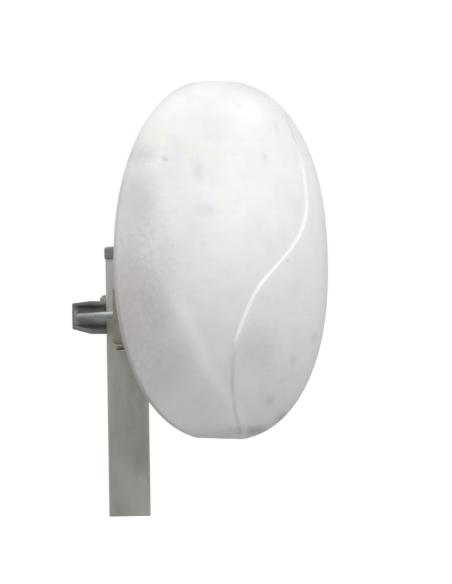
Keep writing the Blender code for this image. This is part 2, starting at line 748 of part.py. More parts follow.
def aerial_socket(metal, rubber):
    """Model the coaxial socket under the arm: a barrel, its nut and a sealing ring."""
    bottom = CLAMP_Z - ARM_HEIGHT / 2
    low = bottom - SOCKET_LENGTH
    y = MAST_AXIS_Y + SOCKET_Y
    barrel = [
        (0, bottom + SOCKET_IN_ARM), (SOCKET_RADIUS, bottom + SOCKET_IN_ARM), (SOCKET_RADIUS, low),
        (SOCKET_BORE, low), (SOCKET_BORE, low + SOCKET_BORE_DEPTH), (0, low + SOCKET_BORE_DEPTH),
    ]
    piece = add_object("socket_barrel", turned("socket_barrel", barrel), metal, (SOCKET_X, y, 0))
    turn(piece, ROUND_SIDES)
    bore = SOCKET_RADIUS + GAP
    hex_ring("socket_nut", metal, (SOCKET_X, y, bottom - GAP - SOCKET_NUT_HEIGHT), SOCKET_NUT_FLATS,
             SOCKET_NUT_HEIGHT, bore)
    ring_low = low + SOCKET_RING_LIFT
    ring_top = ring_low + SOCKET_RING_HEIGHT
    ring = [(SOCKET_RING_RADIUS, ring_top), (SOCKET_RING_RADIUS, ring_low), (bore, ring_low), (bore, ring_top)]
    seal = add_object("socket_ring", turned("socket_ring", ring, closed=True), rubber, (SOCKET_X, y, 0))
    turn(seal, ROUND_SIDES)


def build():
    """Model every piece of the antenna."""
    white = make_material("white_plastic", "eeedef", 0.45)
    grey = make_material("grey_plastic", "8d877f", 0.55)
    cap_grey = make_material("cap_plastic", "6f6f6b", 0.6)
    zinc = make_material("zinc_plate", "b4b7b8", 0.35, 1.0)
    steel = make_material("stainless_steel", "c9c7c3", 0.3, 1.0)
    painted = make_material("painted_steel", "a5a19a", 0.5)
    nickel = make_material("nickel_plate", "c6c2b8", 0.25, 1.0)
    rubber = make_material("black_rubber", "1d1d1e", 0.8)
    front_shell(white)
    back_cover(white)
    cover_screws(steel)
    mount_arm(grey)
    arm_screws(steel)
    clamp_jaw(zinc)
    clamp_screws(zinc)
    earth_terminal(steel, zinc)
    mast(painted, cap_grey)
    aerial_socket(nickel, rubber)


clear_scene()
PARTS = new_collection("flat_tv_antenna")
CUTTERS = new_collection("cutters")
build()
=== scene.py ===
"""A flat outdoor television antenna on its mast stub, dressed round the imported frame.

Lengths are in metres, +Z is up, and the antenna faces -Y. The mast stands on the origin.
"""

import logging
import math
from contextlib import contextmanager
from dataclasses import dataclass
from enum import Enum
from typing import Callable, Iterator, Sequence

import bmesh
import bpy
from mathutils import Matrix, Vector


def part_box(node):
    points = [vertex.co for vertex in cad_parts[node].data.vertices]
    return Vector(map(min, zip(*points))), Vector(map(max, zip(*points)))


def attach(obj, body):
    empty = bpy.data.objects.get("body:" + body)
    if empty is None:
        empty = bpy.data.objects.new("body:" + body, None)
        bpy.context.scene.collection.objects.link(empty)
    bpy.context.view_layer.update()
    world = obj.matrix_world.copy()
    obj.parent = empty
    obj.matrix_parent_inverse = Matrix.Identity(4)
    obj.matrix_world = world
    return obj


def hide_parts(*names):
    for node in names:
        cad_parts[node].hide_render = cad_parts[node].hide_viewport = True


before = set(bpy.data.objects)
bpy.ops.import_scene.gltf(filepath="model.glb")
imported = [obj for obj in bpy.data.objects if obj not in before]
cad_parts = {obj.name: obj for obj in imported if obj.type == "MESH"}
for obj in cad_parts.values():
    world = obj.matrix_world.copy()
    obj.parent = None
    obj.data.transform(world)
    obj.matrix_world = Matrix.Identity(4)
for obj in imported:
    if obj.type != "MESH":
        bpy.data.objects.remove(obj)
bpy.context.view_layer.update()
LOG = logging.getLogger("antenna")

MILLIMETRE = 0.001
FIT = 0.0003
WELD = 0.00001
CUT_MARGIN = 0.004
PANEL_MIDDLE_Z = 0.2745
# The point level that carries painted light and shade on the radome, and on the jaw a darker end tone.
LIGHT_AND_TONE_LEVEL = "light_and_tone_level"

Point = tuple[float, float]
PointTest = Callable[[Vector], bool]
EdgeTest = Callable[[Vector, Vector], bool]


class Axis(Enum):
    """The way a turned piece's own upward axis points once it is in place, as a turn about X."""

    UP = 0.0
    BACK = -math.pi / 2


class Cut(Enum):
    """What a Boolean does with the piece and its tool."""

    REMOVE = "DIFFERENCE"
    JOIN = "UNION"
    KEEP_COMMON = "INTERSECT"


class Slot(Enum):
    """The record's material slots."""

    SHELL = "shell_plastic"
    ARM = "arm_plastic"
    CAP = "cap_plastic"
    ZINC = "zinc_plate"
    STAINLESS = "stainless_steel"
    MAST = "mast_paint"
    NICKEL = "nickel_plate"
    RUBBER = "seal_rubber"


def ease(share: float) -> float:
    """Rise smoothly from 0 to 1 as a share goes from 0 to 1.

    Args:
        share: How far along the rise is, clamped to 0 and 1.

    Returns:
        The height of the rise.
    """
    share = min(max(share, 0.0), 1.0)
    return share * share * (3 - 2 * share)


def fade_out(z: float, span: Point) -> float:
    """Give 1 below a span of heights and 0 above it, with a smooth fall between."""
    return 1 - ease((z - span[0]) / (span[1] - span[0]))


def softer_lower(first: float, second: float, blend: float) -> float:
    """Give the lower of two heights, with the corner where they cross rounded off.

    Args:
        first: One height.
        second: The other height.
        blend: How far apart the heights still affect each other.

    Returns:
        The lower height, a little less where the two are close.
    """
    overlap = max(blend - abs(first - second), 0.0) / max(blend, WELD)
    return min(first, second) - overlap ** 2 * blend / 4


def line_at(line: Sequence[Point], z: float) -> float:
    """Read a smooth line at a height.

    Args:
        line: Points (x, z) from the lowest up.
        z: The height, held between the line's ends.

    Returns:
        The line's x at that height.
    """
    last = len(line) - 1
    z = min(max(z, line[0][1]), line[last][1])
    index = max(i for i in range(last) if line[i][1] <= z)

    def slope(i: int) -> float:
        """Give the line's lean at one of its points."""
        low, high = max(i - 1, 0), min(i + 1, last)
        return (line[high][0] - line[low][0]) / (line[high][1] - line[low][1])

    (x0, z0), (x1, z1) = line[index], line[index + 1]
    span = z1 - z0
    t = (z - z0) / span
    return (
        (2 * t ** 3 - 3 * t ** 2 + 1) * x0 + (t ** 3 - 2 * t ** 2 + t) * span * slope(index)
        + (3 * t ** 2 - 2 * t ** 3) * x1 + (t ** 3 - t ** 2) * span * slope(index + 1))


def select_only(shape: bpy.types.Object) -> None:
    """Select one object alone and make it the active one.

    Args:
        shape: The object.
    """
    bpy.ops.object.select_all(action="DESELECT")
    shape.select_set(True)
    bpy.context.view_layer.objects.active = shape


class Workpiece:
    """A mesh on the bench, started from a primitive and shaped with Blender's operators.

    Every method that shapes it returns the workpiece, so that steps can follow each other.
    """

    def __init__(self, name: str) -> None:
        """Take the primitive that was just added, and work its place into its mesh.

        Args:
            name: The finished piece's name.
        """
        self.shape: bpy.types.Object = bpy.context.active_object
        self.shape.name = name
        self.shape.data.name = name
        bpy.ops.object.transform_apply(location=True, rotation=True, scale=True)

    @staticmethod
    def clear_bench() -> None:
        """Deselect everything before a primitive is added."""
        bpy.ops.object.select_all(action="DESELECT")

    @classmethod
    def box(cls, name: str, low: Sequence[float], high: Sequence[float]) -> "Workpiece":
        """Start from a cube stretched between two corners.

        Args:
            name: The piece's name.
            low: The lowest corner.
            high: The highest corner.

        Returns:
            The new workpiece.
        """
        cls.clear_bench()
        low, high = Vector(low), Vector(high)
        bpy.ops.mesh.primitive_cube_add(size=1, location=(low + high) / 2, scale=high - low)
        return cls(name)

    @classmethod
    def rod(cls, name: str, radius: float, start: Sequence[float], end: Sequence[float],
            sides: int = 32) -> "Workpiece":
        """Start from a capped cylinder between two points.

        Args:
            name: The piece's name.
            radius: The cylinder's radius.
            start: The middle of one end.
            end: The middle of the other end.
            sides: How many sides it has.

        Returns:
            The new workpiece.
        """
        cls.clear_bench()
        start, end = Vector(start), Vector(end)
        run = end - start
        bpy.ops.mesh.primitive_cylinder_add(
            vertices=sides, radius=radius, depth=run.length, location=(start + end) / 2,
            rotation=run.to_track_quat("Z", "Y").to_euler())
        return cls(name)

    @classmethod
    def sheet(cls, name: str, columns: int, rows: int) -> "Workpiece":
        """Start from a flat grid from -1 to 1 each way.

        Args:
            name: The piece's name.
            columns: Faces along X.
            rows: Faces along Y.

        Returns:
            The new workpiece.
        """
        cls.clear_bench()
        bpy.ops.mesh.primitive_grid_add(x_subdivisions=columns, y_subdivisions=rows, size=2)
        return cls(name)

    @classmethod
    def turned(cls, name: str, profile: Sequence[Point], sides: int = 32,
               closed: bool = False) -> "Workpiece":
        """Draw a circle along a profile, ring by ring, about the Z axis.

        Args:
            name: The piece's name.
            profile: Points (radius, height) down the outer side, from top to bottom.
            sides: How many sides the piece has.
            closed: Whether the last ring joins the first, as on a washer.

        Returns:
            The new workpiece.
        """
        cls.clear_bench()
        radius, height = profile[0]
        bpy.ops.mesh.primitive_circle_add(vertices=sides, radius=radius, location=(0, 0, height))
        piece = cls(name)
        with piece.editing("EDGE"):
            bpy.ops.mesh.select_all(action="SELECT")
            if not closed:
                bpy.ops.mesh.edge_face_add()
                bpy.ops.mesh.select_all(action="SELECT")
            for next_radius, next_height in profile[1:]:
                move = (0, 0, next_height - height)
                bpy.ops.mesh.extrude_edges_move(TRANSFORM_OT_translate={"value": move})
                factor = next_radius / radius
                bpy.ops.transform.resize(value=(factor, factor, 1), center_override=(0, 0, next_height))
                radius, height = next_radius, next_height
            if closed:
                bpy.ops.mesh.select_all(action="DESELECT")
                piece.select_open_edges()
                bpy.ops.mesh.bridge_edge_loops()
            else:
                bpy.ops.mesh.edge_face_add()
        return piece.outward()

    @classmethod
    def plate(cls, name: str, outline: Sequence[Point], low: float, high: float) -> "Workpiece":
        """Lay a circle's points on a flat outline and extrude it along Z.

        Args:
            name: The piece's name.
            outline: Points (x, y) round the plate.
            low: The z of its underside.
            high: The z of its top.

        Returns:
            The new workpiece.
        """
        cls.clear_bench()
        bpy.ops.mesh.primitive_circle_add(vertices=len(outline), radius=1, fill_type="NGON")
        piece = cls(name)
        for vert, (x, y) in zip(piece.shape.data.vertices, outline):
            vert.co = (x, y, low)
        with piece.editing("FACE"):
            bpy.ops.mesh.select_all(action="SELECT")
            bpy.ops.mesh.extrude_region_move(TRANSFORM_OT_translate={"value": (0, 0, high - low)})
        return piece.outward()

    @contextmanager
    def editing(self, mode: str = "FACE") -> Iterator[None]:
        """Hold the piece open in edit mode.

        Args:
            mode: What is selected there: VERT, EDGE or FACE.
        """
        select_only(self.shape)
        bpy.ops.object.mode_set(mode="EDIT")
        bpy.ops.mesh.select_mode(type=mode)
        yield
        bpy.ops.object.mode_set(mode="OBJECT")

    def select_open_edges(self) -> None:
        """Select the edges that have a face on one side only."""
        bm = bmesh.from_edit_mesh(self.shape.data)
        for edge in bm.edges:
            edge.select_set(edge.is_boundary or edge.is_wire)
        bmesh.update_edit_mesh(self.shape.data)

    def select_points(self, test: PointTest) -> None:
        """Select the points that pass a test.

        Args:
            test: Says of a point's place whether it is selected.
        """
        bpy.ops.mesh.select_all(action="DESELECT")
        bm = bmesh.from_edit_mesh(self.shape.data)
        for vert in bm.verts:
            vert.select_set(test(vert.co))
        bm.select_flush_mode()
        bmesh.update_edit_mesh(self.shape.data)

    def select_edges(self, test: EdgeTest) -> None:
        """Select the edges that pass a test.

        Args:
            test: Says of an edge's two ends whether it is selected.
        """
        bpy.ops.mesh.select_all(action="DESELECT")
        bm = bmesh.from_edit_mesh(self.shape.data)
        for edge in bm.edges:
            edge.select_set(test(edge.verts[0].co, edge.verts[1].co))
        bmesh.update_edit_mesh(self.shape.data)

    def round_edges(self, test: EdgeTest, width: float, segments: int = 3) -> "Workpiece":
        """Bevel the edges that pass a test.

        Args:
            test: Says of an edge's two ends whether it is rounded.
            width: How far the bevel reaches on each side.
            segments: How many faces the bevel has across.

        Returns:
            The workpiece.
        """
        with self.editing("EDGE"):
            self.select_edges(test)
            bpy.ops.mesh.bevel(
                offset=width, segments=segments, profile=0.5, affect="EDGES", clamp_overlap=True)
        return self

    def outward(self) -> "Workpiece":
        """Weld doubled points and turn every face outwards.

        Returns:
            The workpiece.
        """
        with self.editing("VERT"):
            bpy.ops.mesh.select_all(action="SELECT")
            bpy.ops.mesh.remove_doubles(threshold=WELD)
            bpy.ops.mesh.select_all(action="SELECT")
            bpy.ops.mesh.normals_make_consistent(inside=False)
        return self

    def apply(self, kind: str, **settings: object) -> "Workpiece":
        """Add a modifier and apply it at once.

        Args:
            kind: The modifier's type.
            settings: Its settings by name.

        Returns:
            The workpiece.
        """
        select_only(self.shape)
        step = self.shape.modifiers.new(kind.lower(), kind)
        for name, value in settings.items():
            setattr(step, name, value)
        bpy.ops.object.modifier_apply(modifier=step.name)
        return self

    def soften(self, width: float, segments: int = 2, angle: float = 35.0) -> "Workpiece":
        """Round every sharp edge a little.

        Args:
            width: How far the rounding reaches.
            segments: How many faces it has across.
            angle: The least angle of a sharp edge, in degrees.

        Returns:
            The workpiece.
        """
        return self.apply("BEVEL", width=width, segments=segments, limit_method="ANGLE",
                          angle_limit=math.radians(angle), use_clamp_overlap=True, miter_outer="MITER_ARC",
                          harden_normals=False)

    def combine(self, tool: "Workpiece", cut: Cut) -> "Workpiece":
        """Cut the piece with a tool, or join the two, and clear the tool away.

        Args:
            tool: The other workpiece.
            cut: What is done with it.

        Returns:
            The workpiece.
        """
        self.apply("BOOLEAN", object=tool.shape, operation=cut.value, solver="EXACT", use_self=False)
        bpy.data.objects.remove(tool.shape, do_unlink=True)
        return self

    def copy(self, name: str) -> "Workpiece":
        """Make a copy that has a mesh of its own.

        Args:
            name: The copy's name.

        Returns:
            The copy.
        """
        shape = bpy.data.objects.new(name, self.shape.data.copy())
        bpy.context.scene.collection.objects.link(shape)
        select_only(shape)
        return Workpiece(name)

    def place(self, where: Sequence[float], axis: Axis = Axis.UP, roll: float = 0.0) -> "Workpiece":
        """Set the piece in its place and work that into its mesh.

        Args:
            where: The point that the piece's own origin goes to.
            axis: The way its own Z axis points.
            roll: A turn about that axis beforehand, in radians.

        Returns:
            The workpiece.
        """
        turn = Matrix.Rotation(axis.value, 4, "X") @ Matrix.Rotation(roll, 4, "Z")
        return self.turn_to(Matrix.Translation(where) @ turn)

    def turn_to(self, matrix: Matrix) -> "Workpiece":
        """Set the piece by a matrix and work that into its mesh.

        Args:
            matrix: From the piece's own axes to the frame's.

        Returns:
            The workpiece.
        """
        self.shape.matrix_world = matrix
        select_only(self.shape)
        bpy.ops.object.transform_apply(location=True, rotation=True, scale=True)
        return self

    def join(self, others: Sequence["Workpiece"]) -> "Workpiece":
        """Put other workpieces' meshes into this one's.

        Args:
            others: The workpieces that end here.

        Returns:
            The workpiece.
        """
        select_only(self.shape)
        for other in others:
            other.shape.select_set(True)
        bpy.ops.object.join()
        return self

    def finish(self, node: str, slot: Slot, finish: bpy.types.Material, smooth: float = 32.0) -> None:
        """Dress the piece and hand it to the frame.

        Args:
            node: The solid that it stands for.
            slot: The record's slot for its finish. It is not used.
            finish: Its material.
            smooth: The angle up to which neighbouring faces look smooth, in degrees.
        """
        select_only(self.shape)
        bpy.ops.object.shade_smooth_by_angle(angle=math.radians(smooth))
        self.shape.data.materials.clear()
        self.shape.data.materials.append(finish)
        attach(self.shape, "root")
        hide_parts(node)
        LOG.info("%s stands for %s: %d faces", self.shape.name, node, len(self.shape.data.polygons))


def rounded(points: Sequence[Point], radii: Sequence[float], segments: int = 4) -> list[Point]:
    """Round the corners of a profile.

    Args:
        points: The profile's points in order.
        radii: The radius at each point, where 0 leaves it sharp.
        segments: How many pieces each rounded corner has.

    Returns:
        The profile with arcs in place of its rounded corners.
    """
    path: list[Point] = []
    last = len(points) - 1
    for index, (point, radius) in enumerate(zip(points, radii)):
        if radius <= 0:
            path.append(point)
            continue
        corner = Vector(point)
        before = Vector(points[index - 1]) - corner
        after = Vector(points[index + 1 if index < last else 0]) - corner
        half = before.angle(after) / 2
        back = min(radius / math.tan(half), before.length / 2, after.length / 2)
        start = corner + before.normalized() * back
        end = corner + after.normalized() * back
        centre = corner + (before.normalized() + after.normalized()).normalized() * back / math.cos(half)
        first, second = start - centre, end - centre
        sweep = first.angle_signed(second)
        for step in range(segments + 1):
            path.append(tuple(centre + Matrix.Rotation(-sweep * step / segments, 2) @ first))
    return path


def foot_and_size(box: tuple[Vector, Vector]) -> tuple[Vector, Vector]:
    """Give the middle of a solid's underside, and its extents, from its lowest and highest corners."""
    low, high = box
    return Vector(((low.x + high.x) / 2, (low.y + high.y) / 2, low.z)), high - low


@dataclass(frozen=True)
class PanelForm:
    """The outline and the dome that the radome and its back cover share.

    Heights are measured from the panel's middle, and depths from its rim plane towards -Y.
    """

    middle_z: float = PANEL_MIDDLE_Z
    rim_y: float = -0.1195
    half_width: float = 0.152
    half_height: float = 0.191
    full_half_height: float = 0.194
    crown: float = 0.0673
    left_power: float = 2.14
    right_power: float = 2.30
    profile_power: float = 2.05
    left_drop: float = 0.0074
    middle_blend: float = 0.060
    flat_flare: float = 0.12
    flare_power: int = 4

    def width_share(self, z: float, side: int, inset: float = 0.0) -> float:
        """Give the rim's half width at a height, as a share of its widest.

        Args:
            z: The height.
            side: -1 on the left, 1 on the right.
            inset: How far inside the rim the outline runs.

        Returns:
            A share from 0 to 1.
        """
        power = self.left_power if side < 0 else self.right_power
        level = z
        if side < 0:
            level += self.left_drop * (1 - (z / (self.half_height - inset)) ** 2)
        return (1 - abs(level / (self.full_half_height - inset)) ** power) ** (1 / power)

    def edge_x(self, z: float, side: int, inset: float = 0.0) -> float:
        """Give the x of the rim outline at a height, on the left (-1) or the right (+1)."""
        return side * (self.half_width - inset) * self.width_share(z, side, inset)

    def bulge(self, x: float, z: float) -> float:
        """Give how far the plain dome stands before the rim plane.

        Args:
            x: The point's place across the panel.
            z: The point's height.

        Returns:
            The depth towards -Y.
        """
        side = -1 if x < 0 else 1
        left, right = self.width_share(z, -1), self.width_share(z, 1)
        blend = ease((x + self.middle_blend) / (2 * self.middle_blend))
        reach = min(x / self.edge_x(z, side), 1.0)
        crown = self.crown * (left + (right - left) * blend)
        return crown * (1 - reach ** self.profile_power) ** (1 / self.profile_power)


@dataclass(frozen=True)
class Radome:
    """The moulded front: a dome with a winding step, a creased left flank and a narrow lip behind.

    The lines are points (x, z), but the line of the step's painted highlight and shade has points (level, z).
    The ridge's painted light and the hollow's painted shade are each a width beside the crease and a level,
    and the fades are the heights between which they end.
    """

    form: PanelForm
    finish: bpy.types.Material
    wall: float = 0.003
    lip: float = 0.005
    lip_round: float = 0.0006
    flat_round: float = 0.0016
    step_height: float = 0.0025
    step_width: float = 0.005
    step_edge_share: float = 0.85
    step_rim_fade: float = 0.015
    step_line: tuple[Point, ...] = (
        (0.011, -0.191), (-0.006, -0.175), (-0.020, -0.159), (-0.031, -0.138), (-0.036, -0.110),
        (-0.034, -0.083), (-0.015, -0.042), (0.004, -0.021), (0.037, 0.004), (0.061, 0.024),
        (0.077, 0.046), (0.083, 0.072), (0.082, 0.105), (0.074, 0.143), (0.063, 0.170), (0.045, 0.191))
    crease_line: tuple[Point, ...] = (
        (0.000, -0.191), (-0.027, -0.162), (-0.073, -0.123), (-0.108, -0.069), (-0.125, -0.039),
        (-0.135, 0.000), (-0.126, 0.065), (-0.117, 0.108), (-0.085, 0.150), (-0.036, 0.191))
    crease_share: float = 0.9
    crease_round: float = 0.009
    crease_fade: Point = (0.040, 0.150)
    crease_step_gap: float = 0.008
    crease_edge_share: float = 0.97
    # The step's painted highlight and shade: how wide they are, and their level up the step.
    step_light_width: float = 0.0062
    step_light_line: tuple[Point, ...] = (
        (-0.3, -0.191), (-0.45, -0.160), (-0.55, -0.140), (-0.4, -0.118), (0.0, -0.098), (0.9, -0.080),
        (0.65, -0.053), (0.6, -0.026), (0.25, -0.005), (0.4, 0.027), (0.45, 0.049), (0.15, 0.081),
        (-0.1, 0.108), (-0.8, 0.130), (-0.9, 0.150), (-0.6, 0.191))
    # Painted shade along the right rim: how wide it is, and its level.
    rim_shade_width: float = 0.0025
    rim_shade: float = -0.5
    ridge_light: Point = (0.026, 0.36)
    hollow_shade: Point = (0.046, 0.10)
    ridge_fade: Point = (-0.090, 0.010)
    rows: int = 150
    columns: tuple[int, ...] = (34, 58, 10, 46)
    flank_crowding: float = 1.6
    right_crowding: float = 1.8

    def step_x(self, z: float) -> float:
        """Give the middle of the moulded step at a height."""
        return min(line_at(self.step_line, z), self.form.edge_x(z, 1) * self.step_edge_share)

    def crease_x(self, z: float) -> float:
        """Give the middle of the flank's crease at a height, kept between the rim and the step.

        Args:
            z: The height.

        Returns:
            The crease's x.
        """
        nearest = self.step_x(z) - self.step_width / 2 - self.crease_step_gap
        farthest = self.form.edge_x(z, -1) * self.crease_edge_share
        return max(min(line_at(self.crease_line, z), nearest), farthest)

    def depth(self, x: float, z: float, step: float, crease: float) -> float:
        """Give how far the finished front stands before the rim plane.

        Args:
            x: The point's place across the panel.
            z: The point's height.
            step: The step's x at that height.
            crease: The crease's x at that height.

        Returns:
            The depth towards -Y.
        """
        depth = self.form.bulge(x, z)
        rim = self.form.edge_x(z, -1)
        along = (x - rim) / (crease - rim)
        chord = self.form.bulge(crease, z) * along
        flank = softer_lower(depth, chord, self.crease_round * min(along, 1.0))
        depth += (flank - depth) * self.crease_share * fade_out(z, self.crease_fade)
        rise = ease((x - step) / self.step_width + 0.5)
        at_rim = ease((self.form.edge_x(z, 1) - x) / self.step_rim_fade)
        return depth + self.step_height * rise * at_rim

    def level_of_light_and_tone(self, x: float, z: float, step: float, crease: float) -> float:
        """Give the painted light (above 0) or shade (below 0) on the front at a point, over its plain colour.

        Args:
            x: The point's place across the panel.
            z: The point's height.
            step: The step's x at that height.
            crease: The crease's x there.

        Returns:
            A level from -1 to 1. It is 0 but for the step, the right rim and both sides of the crease. It
            paints a highlight along the step's middle, shade at its ends and along the right rim, and light
            on the crease's ridge with shade in its hollow, to bring out the crease's own light and shade.
        """
        # Painted highlight and shade on the step, painted shade at the right rim, painted light and shade by
        # the crease.
        across = ease((x - step) / self.step_light_width + 0.5)
        at_rim = 1 - ease((self.form.edge_x(z, 1) - x) / self.rim_shade_width)
        width, share = self.ridge_light if x > crease else self.hollow_shade
        away = max(-1.0, min(1.0, (x - crease) / width))
        beside = share * fade_out(z, self.ridge_fade) * math.sin(math.pi * away)
        return 4 * across * (1 - across) * line_at(self.step_light_line, z) + self.rim_shade * at_rim + beside

    def column_places(self, z: float, step: float, crease: float) -> list[float]:
        """Give the x of each column of points at a height, from rim to rim.

        Args:
            z: The height.
            step: The step's x there.
            crease: The crease's x there.

        Returns:
            One x for each column.
        """
        stops = [self.form.edge_x(z, -1), crease, step - self.step_width / 2, step + self.step_width / 2,
                 self.form.edge_x(z, 1)]
        places = [stops[0]]
        for band, count in enumerate(self.columns):
            start, end = stops[band], stops[band + 1]
            for i in range(1, count + 1):
                share = i / count
                if band == 0:
                    share = share ** self.flank_crowding
                elif band == len(self.columns) - 1:
                    share = 1 - (1 - share) ** self.right_crowding
                places.append(start + (end - start) * share)
        return places

    def lay_dome(self, skin: Workpiece) -> None:
        """Move the points of a flat sheet onto the dome, row by row.

        Args:
            skin: The sheet, one row longer at each end than the dome, for the two flats.
        """
        form, top, columns, rows = self.form, self.form.half_height, sum(self.columns), self.rows + 2
        shares = [min(max((row - 1) / self.rows, 0), 1) for row in range(rows + 1)]
        levels = [-top * math.cos(math.pi * share) for share in shares]
        steps = [self.step_x(z) for z in levels]
        creases = [self.crease_x(z) for z in levels]
        places = [self.column_places(*line) for line in zip(levels, steps, creases)]
        # Each point's level of painted light and shade.
        light_and_tone = skin.shape.data.attributes.new(LIGHT_AND_TONE_LEVEL, "FLOAT", "POINT")
        for vert in skin.shape.data.vertices:
            column = round((vert.co.x + 1) / 2 * columns)
            row = round((vert.co.y + 1) / 2 * rows)
            x, z = places[row][column], levels[row]
            depth = 0.0 if row in (0, rows) else self.depth(x, z, steps[row], creases[row])
            flare = form.flat_flare * depth * (z / top) ** form.flare_power
            vert.co = (x, form.rim_y - depth, form.middle_z + z + math.copysign(flare, z))
            light_and_tone.data[vert.index].value = self.level_of_light_and_tone(x, z, steps[row], creases[row])

    def on_flat_corner(self, start: Vector, end: Vector) -> bool:
        """Say whether an edge lies where a flat end meets the dome.

        Args:
            start: One end of the edge.
            end: The other end.

        Returns:
            Whether both ends lie there.
        """
        form = self.form

        def on_corner(point: Vector) -> bool:
            """Say whether a point lies on that corner.

            Args:
                point: The point.

            Returns:
                Whether it does.
            """
            depth = form.rim_y - point.y
            reach = form.half_height + form.flat_flare * depth
            return depth > WELD and abs(abs(point.z - form.middle_z) - reach) < WELD

        return on_corner(start) and on_corner(end)

    def build(self) -> None:
        """Model the radome as one skin with a lip, and give it its wall."""
        form = self.form
        skin = Workpiece.sheet("radome_moulding", sum(self.columns), self.rows + 2)
        self.lay_dome(skin)
        with skin.editing("EDGE"):
            bpy.ops.mesh.select_all(action="SELECT")
            bpy.ops.mesh.remove_doubles(threshold=WELD)
        skin.round_edges(self.on_flat_corner, self.flat_round)
        with skin.editing("EDGE"):
            bpy.ops.mesh.select_all(action="DESELECT")
            skin.select_open_edges()
            bpy.ops.mesh.extrude_edges_move(TRANSFORM_OT_translate={"value": (0, self.lip, 0)})
        skin.apply(
            "SOLIDIFY", thickness=self.wall, offset=-1, use_even_offset=False, use_quality_normals=True)
        back = form.rim_y + self.lip - WELD
        skin.round_edges(
            lambda a, b: min(a.y, b.y) > back and self.on_outer_rim(a, b), self.lip_round, segments=2)
        skin.finish("front_shell", Slot.SHELL, self.finish)

    def on_outer_rim(self, start: Vector, end: Vector) -> bool:
        """Say whether an edge of the lip's back lies on the outline, and not on the wall's inner side.

        Args:
            start: One end of the edge.
            end: The other end.

        Returns:
            Whether both ends lie on the outline.
        """
        def reach(point: Vector) -> float:
            """Give roughly how far inside the outline a point lies.

            Args:
                point: The point.

            Returns:
                The distance, or 0 on a flat end.
            """
            z = point.z - self.form.middle_z
            side = -1 if point.x < 0 else 1
            inner = self.form.half_height - self.wall / 2
            if abs(z) > inner:
                return 0.0
            return abs(self.form.edge_x(z, side)) - abs(point.x)

        return max(reach(start), reach(end)) < self.wall / 2


